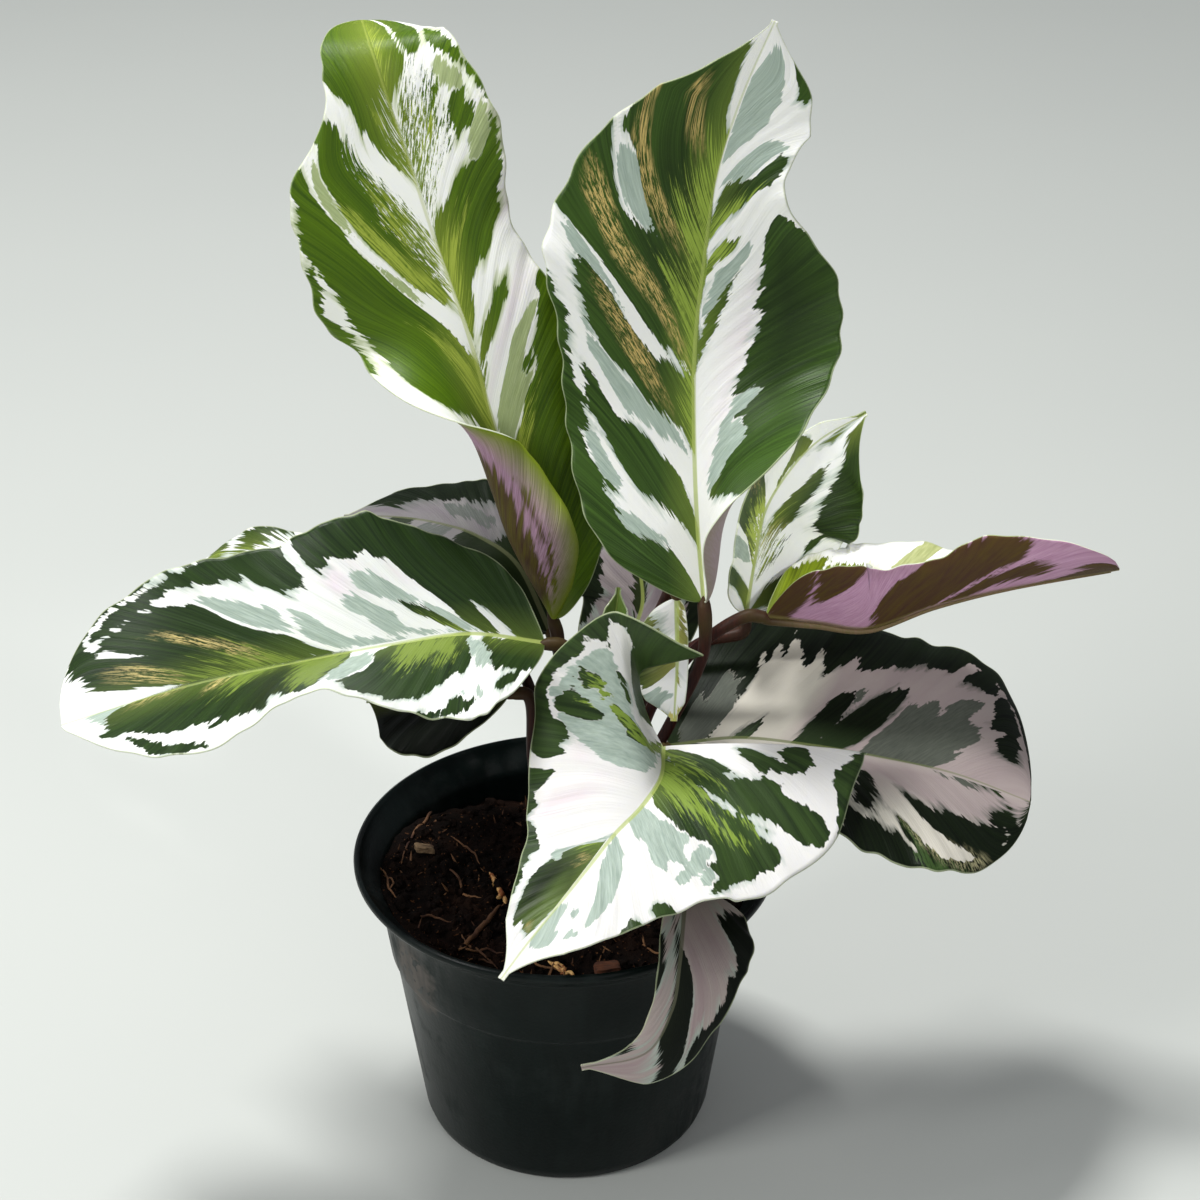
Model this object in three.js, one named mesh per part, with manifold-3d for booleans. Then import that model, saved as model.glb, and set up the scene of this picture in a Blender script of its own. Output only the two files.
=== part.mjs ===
// A potted stella calathea: a nursery pot, its soil, the root crown and fourteen leaves.
// Millimetres, +Z up. The pot's axis is the Z axis and its underside lies at Z = 0.
// The front of the plant is its -Y side.

import * as THREE from "three";
import { mergeVertices } from "three/addons/utils/BufferGeometryUtils.js";
import Module from "manifold-3d";

const wasm = await Module();
wasm.setup();

// Driving dimensions of the pot
const potHeight = 88;
const rimRadius = 60;
const lipHeight = 3;
const baseRadius = 40.5;
const footRadius = 42.3;
const footHeight = 4;
const bodyRadius = 49.8;
const ledgeHeight = 57;
const ledgeStep = 0.9;
const ledgeSlope = 1;
const neckRadius = 53.8;
const neckHeight = 79;
const flareRadius = 58.4;
const flareHeight = 84;
const wall = 1.3;
const floorThickness = 2;
const insideStep = 1;
const drainHoleRadius = 3.5;
const drainHoleSegments = 16;
const drainCircleRadius = 29;
const drainHoleCount = 6;
const potSegments = 40;

// Driving dimensions of the soil and the plant
const seatGap = 0.3;
const bladeGap = 0.5;
const soilHeight = 74;
const soilRadius = 52.6;
const soilFlatRadius = 46;
const soilDip = 2;
const soilSegments = 30;
const crownRadius = 17;
const crownHeight = 4;
const crownOffset = 3;
const crownBevel = 1;
const crownSegments = 24;
const bladeThickness = 0.8;
const bladeNarrowest = 0.9;
const bladeTipPower = 0.85;
const bladeRows = 12;
const bladeColumns = 4;
const petioleRadius = 1.8;
const petioleApproach = 5;
const petioleSides = 8;
const petioleSteps = 10;

// Surface colours
const potColour = 0x1f2624;
const soilColour = 0x1d130d;
const crownColour = 0x6b5a3c;
const barkColour = 0x4a2c1c;
const petioleColour = 0x4a2320;
const bladeColour = 0x35572c;

// Each leaf: its midrib from base to tip, the way its upper face looks, and its two halves.
// A half holds, from base to tip, its width and the angles in degrees by which it leaves the
// midrib (rise) and meets the margin (curl), both counted towards the upper face. A sweep turns
// the half back towards the base. The petiole runs from the crown to the blade.
const leaves = [
  {
    name: "leaf_upper_left",
    midrib: [[-3, 9, 159], [-10, 12, 188], [-18, 15, 214], [-25, 19, 241], [-33, 25, 264], [-41, 32, 288],
      [-49, 40, 310], [-53, 58, 309]],
    face: [[0.1, -1, 0.1], [0.1, -1, 0.1], [0.1, -1, 0.1], [0.1, -1, 0.1], [0.1, -1, 0.1], [0.1, -1, 0.1],
      [0.1, -0.9, 0.5], [0.1, -0.3, 1]],
    left: { width: [8, 36, 26, 30, 35, 33, 15, 10], rise: [40, 25, 10, 0, 0, 0, 0, 0],
      curl: [200, 205, 165, -10, -10, -10, -10, 0], wave: [1, 3, 0.2] },
    right: { width: [12, 22, 25, 26, 21, 26, 19, 12], rise: [40, 20, 10, 10, 10, 10, 10, 0],
      curl: [20, -10, -20, -20, -20, -10, -10, 0], wave: [1, 2.5, 0.3] },
    tipLength: 0.1,
    petiole: [[-1, 3], [0, 5, 105], [-1, 8, 135]],
  },
  {
    name: "leaf_upper_right",
    midrib: [[38, -7, 174], [36, -1, 197], [35, 5, 220], [35, 10, 242], [37, 14, 264], [40, 18, 286],
      [46, 20, 307], [54, 19, 328]],
    face: [[-0.05, -1, 0.2]],
    left: { width: [12, 29, 34, 36, 42, 35, 19, 8], rise: [30, 15, 8, 5, 5, 5, 10, 10],
      curl: [20, 0, -12, -10, -5, -5, 0, 0], wave: [1.2, 2.5, 0.1] },
    right: { width: [12, 26, 32, 38, 35, 19, 23, 9], rise: [30, 30, 20, 8, 5, 10, 10, 10],
      curl: [130, 135, 50, -5, -10, 20, 5, 0], wave: [1.2, 2.5, 0.3] },
    petiole: [[8, -3], [17, -6, 108], [29, -7, 134], [38, -7, 157]],
  },
  {
    name: "leaf_left",
    midrib: [[-5, -14, 165], [-25, -16, 169], [-46, -20, 168], [-70, -24, 165], [-100, -28, 160],
      [-134, -30, 149]],
    face: [[0, -0.37, 0.93]],
    left: { width: [12, 38, 38, 38, 34, 16], rise: [20, 21, 24, 42, 18, 10],
      curl: [20, 21, 24, 42, 18, 10], wave: [2, 2.5, 0.1] },
    right: { width: [6, 26, 34, 38, 33, 22], rise: [10, 25, 30, 28, 25, 15],
      curl: [25, 25, 25, 25, 20, 10], wave: [2, 2.5, 0.2] },
    tipLength: 0.1,
    petiole: [[-2, -8], [-1, -11, 105], [3, -13, 135], [5, -13.5, 156]],
  },
  {
    name: "leaf_back_left",
    midrib: [[-4, 22, 147], [-13, 28, 165], [-24, 34, 171], [-35, 38, 173], [-48, 42, 173], [-63, 44, 172]],
    face: [[0, -0.2, 1]],
    left: { width: [8, 22, 28, 28, 20, 6], rise: [-10, -10, -10, -10, -10, -10],
      curl: [-40, -40, -40, -40, -40, -40], wave: [1, 2, 0.1] },
    right: { width: [6, 16, 22, 22, 16, 5], rise: [0, 0, 0, 0, 0, 0],
      curl: [-10, -10, -10, -10, -10, -10], wave: [1.5, 2, 0.2] },
    petiole: [[0, 9], [0, 15, 102], [-1, 19, 126]],
  },
  {
    name: "leaf_far_left",
    midrib: [[-39, 5, 167], [-53, 12, 170], [-68, 18, 171], [-82, 22, 172], [-95, 26, 168], [-107, 28, 161]],
    face: [[0, -0.2, 1]],
    left: { width: [8, 18, 20, 20, 16, 6], rise: [-10, -10, -10, -10, -10, -10],
      curl: [-30, -30, -30, -30, -30, -30], wave: [1, 2, 0.1] },
    right: { width: [6, 8, 10, 10, 8, 4], rise: [20, 20, 20, 20, 20, 20],
      curl: [0, 0, 0, 0, 0, 0], wave: [1.5, 3, 0.2] },
    petiole: [[-7, 6], [-8, 8, 105], [-10, 8, 138], [-22, 5, 158]],
  },
  {
    name: "leaf_back_right",
    midrib: [[51, 22, 153], [53, 28, 165], [56, 34, 179], [63, 40, 189], [72, 46, 196], [85, 50, 202]],
    face: [[0.3, -0.8, 0.6]],
    left: { width: [8, 18, 18, 14, 10, 6], rise: [30, 45, 45, 45, 40, 20],
      curl: [40, 60, 60, 60, 50, 20], wave: [1, 2, 0.1] },
    right: { width: [8, 22, 28, 28, 22, 8], rise: [20, 10, 5, 0, 0, 0],
      curl: [0, -10, -20, -20, -10, 0], wave: [1, 2, 0.2] },
    petiole: [[11, 11], [16, 14, 103], [24, 18, 130], [38, 19, 145]],
  },
  {
    name: "leaf_right_back",
    midrib: [[56, 8, 160], [70, 10, 157], [85, 12, 154], [103, 14, 160], [124, 14, 166], [153, 12, 173]],
    face: [[0, 0, 1]],
    left: { width: [8, 14, 22, 22, 16, 6], rise: [30, 25, 25, 20, 15, 10],
      curl: [20, 20, 20, 10, 0, 0], wave: [1, 2, 0.1] },
    right: { width: [10, 22, 22, 20, 20, 10], rise: [70, 70, 70, 65, 60, 30],
      curl: [90, 90, 90, 85, 90, 60], wave: [1.5, 2.5, 0.2] },
    petiole: [[15, 6], [18, 7, 103], [25, 8, 132], [40, 7, 154]],
  },
  {
    name: "leaf_right",
    midrib: [[29, -2, 124], [48, -4, 128], [68, -6, 127], [89, -8, 124], [109, -10, 120], [130, -12, 112]],
    face: [[0, -0.25, 1]],
    left: { width: [16, 42, 46, 50, 48, 26], rise: [20, 15, 10, 8, 8, 0],
      curl: [5, 0, -5, -8, -10, -10], wave: [1.5, 2.5, 0.1] },
    right: { width: [14, 30, 34, 38, 36, 14], rise: [20, 18, 15, 12, 5, 0],
      curl: [5, 5, 5, 0, -5, -10], wave: [2, 2.5, 0.2] },
    tipLength: 0.1,
    petiole: [[13, 0], [16, -1, 98], [19, -1, 114]],
  },
  {
    name: "leaf_front",
    midrib: [[27, -25, 139], [26, -37, 137], [21, -48, 135], [14, -59, 134], [7, -70, 131], [0, -81, 128],
      [-8, -91, 123], [-15, -100, 118]],
    face: [[0.1, -0.3, 0.95]],
    left: { width: [56, 52, 46, 39, 28, 20, 11, 4], rise: [10, 8, 8, 5, 5, 5, 5, 5],
      curl: [-8, -10, -12, -10, -5, 0, 0, 0], sweep: [14, 8, 0, 0, 0, 0, 0, 0], wave: [1.5, 2.5, 0.1] },
    right: { width: [36, 46, 34, 24, 18, 14, 8, 3], rise: [60, 50, 20, 5, 0, 0, 0, 0],
      curl: [110, 70, 20, 5, 0, 0, 0, 0], sweep: [80, 38, 10, 0, 0, 0, 0, 0], wave: [1, 2.5, 0.2] },
    shoulder: 0.01,
    attachBelow: true,
    petiole: [[9, -10], [16, -15, 103], [24, -22, 124]],
  },
  {
    name: "leaf_drooping",
    midrib: [[33, -48, 110], [32, -60, 105], [31, -68, 98], [29, -72, 86], [22, -75, 74], [5, -76, 70]],
    face: [[0.1, -1, 0.3]],
    left: { width: [14, 20, 19, 14, 10, 4], rise: [10, 10, 10, 10, 10, 10],
      curl: [-20, -20, -20, -20, -20, -20], wave: [1, 2, 0.1] },
    right: { width: [4, 6, 6, 6, 5, 2], rise: [20, 20, 20, 20, 20, 20],
      curl: [0, 0, 0, 0, 0, 0], wave: [0.5, 2, 0.2] },
    petiole: [[4, -13], [12, -22, 97], [23, -32, 110]],
  },
  {
    name: "leaf_back_centre",
    midrib: [[14, 20, 128], [17, 26, 139], [22, 30, 151], [21, 34, 164], [21, 38, 174], [20, 42, 185]],
    face: [[0, -1, 0.3]],
    left: { width: [6, 14, 18, 18, 14, 5], rise: [10, 10, 10, 10, 10, 10],
      curl: [-20, -20, -20, -20, -20, -20], wave: [1, 2, 0.1] },
    right: { width: [6, 14, 17, 17, 14, 5], rise: [20, 20, 20, 20, 20, 20],
      curl: [0, 0, 0, 0, 0, 0], wave: [1, 2, 0.2] },
    petiole: [[5, 12], [6, 16, 95], [10, 17, 110]],
  },
  {
    name: "leaf_young",
    midrib: [[13, -10, 148], [14, -10, 157], [14, -9, 168], [15, -8, 179]],
    face: [[0, -1, 0.3]],
    left: { width: [3, 5, 5, 2], rise: [40, 40, 40, 40], curl: [30, 30, 30, 30], wave: [0, 1, 0] },
    right: { width: [3, 5, 5, 2], rise: [40, 40, 40, 40], curl: [30, 30, 30, 30], wave: [0, 1, 0] },
    petiole: [[3, -5], [6, -8, 105], [11, -10, 130]],
  },
  {
    name: "leaf_inner",
    midrib: [[31, 3, 169], [31, -3, 162], [31, -10, 157], [30.5, -16, 151], [30, -20, 144]],
    face: [[0, -1, 0.5]],
    left: { width: [2, 3, 3, 3, 2], rise: [10, 10, 10, 10, 10], curl: [-20, -20, -20, -20, -20],
      wave: [0, 1, 0] },
    right: { width: [4, 11, 12, 10, 4], rise: [10, 10, 10, 10, 10], curl: [-20, -20, -20, -20, -20],
      wave: [0, 1, 0] },
    petiole: [[5, 6], [9, 9, 107], [17, 12, 135], [27, 13, 160]],
  },
  {
    name: "leaf_lower_left",
    midrib: [[-15, 4, 138], [-23, 6, 138], [-31, 8, 136], [-39, 10, 134], [-47, 12, 132], [-56, 14, 129]],
    face: [[0, -0.1, 1]],
    left: { width: [8, 20, 26, 26, 19, 6], rise: [0, 0, 0, 0, 0, 0],
      curl: [-10, -10, -10, -10, -10, -10], wave: [1, 2, 0.1] },
    right: { width: [8, 16, 20, 20, 16, 8], rise: [10, 10, 10, 10, 10, 10],
      curl: [0, 0, 0, 0, 0, 0], wave: [1, 2, 0.2] },
    petiole: [[-8, -2], [-8, -1, 100], [-9, 1, 120]],
  },
];

function standardMaterial(colour, roughness) {
  return new THREE.MeshStandardMaterial({ color: colour, roughness, metalness: 0 });
}

function namedMesh(name, geometry, material) {
  const mesh = new THREE.Mesh(geometry, material);
  mesh.name = name;
  return mesh;
}

// A smooth run of values through evenly spaced stations, read at s from 0 to 1
function along(stations, s) {
  const last = stations.length - 1;
  if (last === 0) return stations[0];
  const u = Math.min(Math.max(s, 0), 1) * last;
  const i = Math.min(Math.floor(u), last - 1);
  const f = u - i;
  const before = i > 0 ? stations[i - 1] : 2 * stations[0] - stations[1];
  const after = i + 2 <= last ? stations[i + 2] : 2 * stations[last] - stations[last - 1];
  const from = stations[i];
  const to = stations[i + 1];
  const linear = to - before;
  const square = 2 * before - 5 * from + 4 * to - after;
  const cube = 3 * from - before - 3 * to + after;
  return 0.5 * (2 * from + linear * f + square * f * f + cube * f * f * f);
}

function alongPoints(points, s) {
  const axisValues = [0, 1, 2].map((axis) => along(points.map((point) => point[axis]), s));
  return new THREE.Vector3(...axisValues);
}

// The midrib's point at s, with its direction, the upper face's normal and the way to the right half
function midribFrame(leaf, s) {
  const step = 0.01;
  const ahead = alongPoints(leaf.midrib, Math.min(s + step, 1));
  const behind = alongPoints(leaf.midrib, Math.max(s - step, 0));
  const forward = ahead.sub(behind).normalize();
  const normal = alongPoints(leaf.face, s);
  normal.addScaledVector(forward, -normal.dot(forward)).normalize();
  const toRight = new THREE.Vector3().crossVectors(forward, normal);
  return { point: alongPoints(leaf.midrib, s), forward, normal, toRight };
}

// How wide a blade still is near its two ends: round at the base, pointed at the tip
function endTaper(leaf, s) {
  const shoulder = leaf.shoulder ?? 0.1;
  const tipLength = leaf.tipLength ?? 0.16;
  const fromBase = Math.min(s / shoulder, 1);
  const fromTip = Math.min((1 - s) / tipLength, 1);
  return Math.sqrt(1 - (1 - fromBase) ** 2) * fromTip ** bladeTipPower;
}

// Points across one half of a blade, from the midrib to the margin
function halfSection(leaf, half, side, s) {
  const frame = midribFrame(leaf, s);
  const width = Math.max(along(half.width, s) * endTaper(leaf, s), bladeNarrowest);
  const rise = THREE.MathUtils.degToRad(along(half.rise, s));
  const curl = THREE.MathUtils.degToRad(along(half.curl, s));
  const sweep = THREE.MathUtils.degToRad(half.sweep ? along(half.sweep, s) : 0);
  const [waveHeight, waves, wavePhase] = half.wave;
  const fade = Math.sqrt(Math.max(Math.sin(Math.PI * s), 0));
  const ripple = waveHeight * fade * Math.sin(2 * Math.PI * (waves * s + wavePhase));
  const outward = frame.toRight.clone().multiplyScalar(side * Math.cos(sweep));
  outward.addScaledVector(frame.forward, -Math.sin(sweep));
  const points = [];
  let across = 0;
  let up = 0;
  for (let column = 0; column <= bladeColumns; column += 1) {
    if (column > 0) {
      const angle = rise + (curl - rise) * (column - 0.5) / bladeColumns;
      across += Math.cos(angle) * width / bladeColumns;
      up += Math.sin(angle) * width / bladeColumns;
    }
    const share = column / bladeColumns;
    const point = frame.point.clone().addScaledVector(outward, across);
    points.push(point.addScaledVector(frame.normal, up + ripple * share * share));
  }
  return points;
}

// A blade as a closed thin solid: its mid surface, thickened both ways
function bladeGeometry(leaf) {
  const rows = [];
  for (let row = 0; row <= bladeRows; row += 1) {
    const u = row / bladeRows;
    const s = 0.5 * u + 0.25 * (1 - Math.cos(Math.PI * u));
    const leftHalf = halfSection(leaf, leaf.left, -1, s).reverse();
    const rightHalf = halfSection(leaf, leaf.right, 1, s);
    rows.push([...leftHalf, ...rightHalf.slice(1)]);
  }
  const columns = 2 * bladeColumns;
  const upper = [];
  const lower = [];
  rows.forEach((points, row) => {
    points.forEach((point, column) => {
      const nextRow = rows[Math.min(row + 1, bladeRows)][column];
      const lastRow = rows[Math.max(row - 1, 0)][column];
      const lengthwise = new THREE.Vector3().subVectors(nextRow, lastRow);
      const nextColumn = points[Math.min(column + 1, columns)];
      const lastColumn = points[Math.max(column - 1, 0)];
      const crosswise = new THREE.Vector3().subVectors(nextColumn, lastColumn);
      const normal = new THREE.Vector3().crossVectors(crosswise, lengthwise).normalize();
      upper.push(point.clone().addScaledVector(normal, bladeThickness / 2));
      lower.push(point.clone().addScaledVector(normal, -bladeThickness / 2));
    });
  });
  const positions = [...upper, ...lower].flatMap((point) => point.toArray());
  const lowerStart = upper.length;
  const indices = [];
  const addQuad = (a, b, c, d) => indices.push(a, b, c, a, c, d);
  const at = (row, column) => row * (columns + 1) + column;
  for (let row = 0; row < bladeRows; row += 1) {
    for (let column = 0; column < columns; column += 1) {
      const corners = [at(row, column), at(row, column + 1), at(row + 1, column + 1), at(row + 1, column)];
      addQuad(...corners);
      addQuad(...corners.reverse().map((index) => index + lowerStart));
    }
    addQuad(at(row, 0), at(row + 1, 0), at(row + 1, 0) + lowerStart, at(row, 0) + lowerStart);
    const right = [at(row, columns), at(row + 1, columns)];
    addQuad(right[1], right[0], right[0] + lowerStart, right[1] + lowerStart);
  }
  for (let column = 0; column < columns; column += 1) {
    const base = [at(0, column), at(0, column + 1)];
    addQuad(base[1], base[0], base[0] + lowerStart, base[1] + lowerStart);
    const tip = [at(bladeRows, column), at(bladeRows, column + 1)];
    addQuad(tip[0], tip[1], tip[1] + lowerStart, tip[0] + lowerStart);
  }
  const geometry = new THREE.BufferGeometry();
  geometry.setAttribute("position", new THREE.Float32BufferAttribute(positions, 3));
  geometry.setIndex(indices);
  return geometry;
}

// A petiole: a tube that rises from the crown and runs into the blade along its midrib
function petioleGeometry(leaf) {
  const [foot, ...bends] = leaf.petiole;
  const frame = midribFrame(leaf, 0);
  const towards = leaf.attachBelow ? frame.normal : frame.forward;
  const reach = leaf.attachBelow ? bladeThickness : bladeGap;
  const start = soilHeight + seatGap + crownHeight + seatGap;
  const points = [
    new THREE.Vector3(foot[0], foot[1], start),
    new THREE.Vector3(foot[0], foot[1], start + petioleApproach),
    ...bends.map((bend) => new THREE.Vector3(...bend)),
    frame.point.clone().addScaledVector(towards, -petioleApproach),
    frame.point.clone().addScaledVector(towards, -reach),
  ];
  const section = new THREE.Shape();
  for (let side = 0; side < petioleSides; side += 1) {
    const angle = 2 * Math.PI * side / petioleSides;
    const x = petioleRadius * Math.cos(angle);
    const y = petioleRadius * Math.sin(angle);
    if (side === 0) section.moveTo(x, y);
    else section.lineTo(x, y);
  }
  section.closePath();
  const extrudePath = new THREE.CatmullRomCurve3(points, false, "centripetal");
  return new THREE.ExtrudeGeometry(section, { steps: petioleSteps, extrudePath });
}

function turned(profile, segments) {
  const outline = profile.map(([radius, height]) => new THREE.Vector2(radius, height));
  const lathe = new THREE.LatheGeometry(outline, segments);
  lathe.rotateX(Math.PI / 2);
  return lathe;
}

function solidFrom(geometry) {
  const bare = geometry.clone();
  bare.deleteAttribute("normal");
  bare.deleteAttribute("uv");
  const merged = mergeVertices(bare, 1e-4);
  const vertProperties = new Float32Array(merged.attributes.position.array);
  const triVerts = new Uint32Array(merged.index.array);
  return new wasm.Manifold(new wasm.Mesh({ numProp: 3, vertProperties, triVerts }));
}

function geometryFrom(solid) {
  const mesh = solid.getMesh();
  const geometry = new THREE.BufferGeometry();
  geometry.setAttribute("position", new THREE.BufferAttribute(mesh.vertProperties, 3));
  geometry.setIndex(new THREE.BufferAttribute(mesh.triVerts, 1));
  return geometry;
}

// The pot's outer outline: rounded foot, tapered body, a small ledge, a flared rim and its lip
const potOutline = [
  [baseRadius, 0],
  [footRadius, footHeight],
  [bodyRadius, ledgeHeight],
  [bodyRadius + ledgeStep, ledgeHeight + ledgeSlope],
  [neckRadius, neckHeight],
  [flareRadius, flareHeight],
  [rimRadius, potHeight - lipHeight],
  [rimRadius, potHeight],
];

// The inner outline runs the same way, one wall further in
const potInside = [
  [footRadius - wall, footHeight + insideStep],
  [bodyRadius - wall, ledgeHeight],
  [bodyRadius + ledgeStep - wall, ledgeHeight + ledgeSlope],
  [neckRadius - wall, neckHeight],
  [flareRadius - wall, flareHeight + insideStep],
  [rimRadius - wall, potHeight],
];

function potGeometry() {
  const profile = [
    [0, 0],
    ...potOutline,
    ...potInside.slice().reverse(),
    [baseRadius - wall, floorThickness],
    [0, floorThickness],
  ];
  let pot = solidFrom(turned(profile, potSegments));
  for (let hole = 0; hole < drainHoleCount; hole += 1) {
    const angle = 2 * Math.PI * (hole + 0.5) / drainHoleCount;
    const x = drainCircleRadius * Math.cos(angle);
    const y = drainCircleRadius * Math.sin(angle);
    const drillLength = 4 * floorThickness;
    const across = [drainHoleRadius, drainHoleRadius];
    const drill = new THREE.CylinderGeometry(...across, drillLength, drainHoleSegments);
    drill.rotateX(Math.PI / 2);
    drill.translate(x, y, floorThickness / 2);
    pot = pot.subtract(solidFrom(drill));
  }
  return geometryFrom(pot);
}

// The soil fills the pot to just under the flare, lower at the wall than at the crown
function soilGeometry() {
  const inset = wall + 2 * seatGap;
  const profile = [
    [0, floorThickness + seatGap],
    [baseRadius - inset, floorThickness + seatGap],
    [footRadius - inset, footHeight + insideStep],
    [bodyRadius - inset, ledgeHeight],
    [bodyRadius + ledgeStep - inset, ledgeHeight + 2 * ledgeSlope],
    [soilRadius - inset, soilHeight - soilDip],
    [soilFlatRadius, soilHeight],
    [0, soilHeight],
  ];
  return turned(profile, soilSegments);
}

// The root crown is a low mound on the soil that carries every petiole
function crownGeometry() {
  const bottom = soilHeight + seatGap;
  const profile = [
    [0, bottom],
    [crownRadius, bottom],
    [crownRadius - crownBevel / 2, bottom + crownHeight - crownBevel],
    [crownRadius - 1.5 * crownBevel, bottom + crownHeight],
    [0, bottom + crownHeight],
  ];
  const crown = turned(profile, crownSegments);
  crown.translate(crownOffset, 0, 0);
  return crown;
}

// Two bark chips that lie flat on the soil: length, width and height, centre, and turn in radians
const barkChips = [
  { name: "bark_chip_pale", size: [7, 2.5, 1.6], centre: [-41, 10], turn: 0.3 },
  { name: "bark_chip_brown", size: [9, 4, 2.4], centre: [12, -40], turn: 0.2 },
];

function chipGeometry(barkChip) {
  const [x, y] = barkChip.centre;
  const height = barkChip.size[2];
  const block = new THREE.BoxGeometry(...barkChip.size);
  block.rotateZ(barkChip.turn);
  block.translate(x, y, soilHeight + seatGap + height / 2);
  return block;
}

const plant = new THREE.Group();
plant.add(namedMesh("pot", potGeometry(), standardMaterial(potColour, 0.5)));
plant.add(namedMesh("soil", soilGeometry(), standardMaterial(soilColour, 0.95)));
plant.add(namedMesh("root_crown", crownGeometry(), standardMaterial(crownColour, 0.8)));
for (const barkChip of barkChips) {
  plant.add(namedMesh(barkChip.name, chipGeometry(barkChip), standardMaterial(barkColour, 0.9)));
}
for (const leaf of leaves) {
  plant.add(namedMesh(leaf.name, bladeGeometry(leaf), standardMaterial(bladeColour, 0.5)));
  const stemName = leaf.name.replace("leaf_", "petiole_");
  plant.add(namedMesh(stemName, petioleGeometry(leaf), standardMaterial(petioleColour, 0.5)));
}

export default plant;
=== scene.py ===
# A potted stella calathea: a nursery pot of peat with fourteen marbled leaves on dark stalks.
# Lengths are in millimetres until a mesh is made, and in metres for the camera, the lamps and
# the materials. The front is the -Y side and +Z is up.
import math

import bmesh
import bpy
import numpy as np
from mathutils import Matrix, Vector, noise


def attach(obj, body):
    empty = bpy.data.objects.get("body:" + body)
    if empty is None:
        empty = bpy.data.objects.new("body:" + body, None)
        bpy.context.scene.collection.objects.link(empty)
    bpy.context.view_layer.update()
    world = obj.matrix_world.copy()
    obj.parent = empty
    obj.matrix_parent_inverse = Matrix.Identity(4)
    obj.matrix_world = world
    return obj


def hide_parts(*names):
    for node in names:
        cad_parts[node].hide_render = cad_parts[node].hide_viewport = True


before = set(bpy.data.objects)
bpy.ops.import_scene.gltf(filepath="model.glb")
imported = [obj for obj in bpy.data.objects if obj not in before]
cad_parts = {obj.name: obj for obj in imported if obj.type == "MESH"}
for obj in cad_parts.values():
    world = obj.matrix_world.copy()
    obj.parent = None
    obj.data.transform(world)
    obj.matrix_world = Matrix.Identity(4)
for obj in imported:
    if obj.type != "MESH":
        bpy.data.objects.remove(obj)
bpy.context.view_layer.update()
mm = 0.001

# Camera, lamps and floor
# The camera stands where the pot's outline puts it: 30 degrees above the pot, about 0.9 m away.
# The lamps are soft boxes: a strong one high behind the plant, so that the pot's front is in
# shade and the leaves glow, a weaker one on the left and a broad one in front. A narrow beam
# reaches the leaves at the right that the tall ones would shade.
camera_place = (0.010, -0.705, 0.584)
camera_pitch = 30.4
camera_lens = 90.0
film_width = 36.0
beam_angle = 11
beam_blend = 0.7
beam_softness = 0.03

view = bpy.data.cameras.new("camera")
view.lens = camera_lens
view.sensor_width = film_width
camera = bpy.data.objects.new("camera", view)
camera.location = camera_place
camera.rotation_euler = (math.radians(90 - camera_pitch), 0, 0)
bpy.context.collection.objects.link(camera)
bpy.context.scene.camera = camera


def put_lamp(name, kind, place, target, watts):
    light = bpy.data.lights.new(name, kind)
    light.energy = watts
    lamp = bpy.data.objects.new(name, light)
    lamp.location = place
    lamp.rotation_euler = (Vector(target) - Vector(place)).to_track_quat("-Z", "Y").to_euler()
    bpy.context.collection.objects.link(lamp)
    return light


put_lamp("key_lamp", "AREA", (-0.30, 0.22, 1.45), (0, 0, 0.17), 19).size = 0.30
put_lamp("side_lamp", "AREA", (-1.2, -0.75, 1.0), (0, 0, 0.27), 12).size = 0.5
put_lamp("front_lamp", "AREA", (0.6, -1.6, 0.9), (0, 0, 0.2), 4).size = 1.2
beam = put_lamp("leaf_beam", "SPOT", (0.45, -0.30, 0.60), (0.072, 0.036, 0.183), 8)
beam.spot_size = math.radians(beam_angle)
beam.spot_blend = beam_blend
beam.shadow_soft_size = beam_softness


def add_node(tree, kind, inputs=None, **settings):
    made = tree.nodes.new(kind)
    for name, value in settings.items():
        setattr(made, name, value)
    for socket, value in (inputs or {}).items():
        if isinstance(value, bpy.types.NodeSocket):
            tree.links.new(value, made.inputs[socket])
        else:
            made.inputs[socket].default_value = value
    return made


def mix_colours(tree, share, first, second):
    inputs = {0: share, 6: first, 7: second}
    return add_node(tree, "ShaderNodeMix", inputs, data_type="RGBA").outputs[2]


def cloudy(tree, vector, scale, detail=2.0, roughness=0.5):
    inputs = {"Vector": vector, "Scale": scale, "Detail": detail, "Roughness": roughness}
    return add_node(tree, "ShaderNodeTexNoise", inputs).outputs[0]


def new_material(name, roughness):
    material = bpy.data.materials.new(name)
    material.use_nodes = True
    tree = material.node_tree
    shader = tree.nodes["Principled BSDF"]
    shader.inputs["Roughness"].default_value = roughness
    place = add_node(tree, "ShaderNodeTexCoord").outputs["Object"]
    return material, tree, shader, place


def shade(red, green, blue):
    """A linear colour from the 0 to 255 values that a paint card gives."""
    channels = [value / 255 for value in (red, green, blue)]
    linear = [c / 12.92 if c <= 0.04045 else ((c + 0.055) / 1.055) ** 2.4 for c in channels]
    return (*linear, 1.0)


def mesh_piece(name, vertices, faces, materials, smooth=True):
    """An object at the origin whose mesh holds these points, given in millimetres."""
    mesh = bpy.data.meshes.new(name)
    mesh.from_pydata((np.asarray(vertices, dtype=float) * mm).tolist(), [], faces)
    for material in materials:
        mesh.materials.append(material)
    mesh.polygons.foreach_set("use_smooth", [smooth] * len(mesh.polygons))
    mesh.update()
    piece = bpy.data.objects.new(name, mesh)
    bpy.context.collection.objects.link(piece)
    return piece


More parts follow.
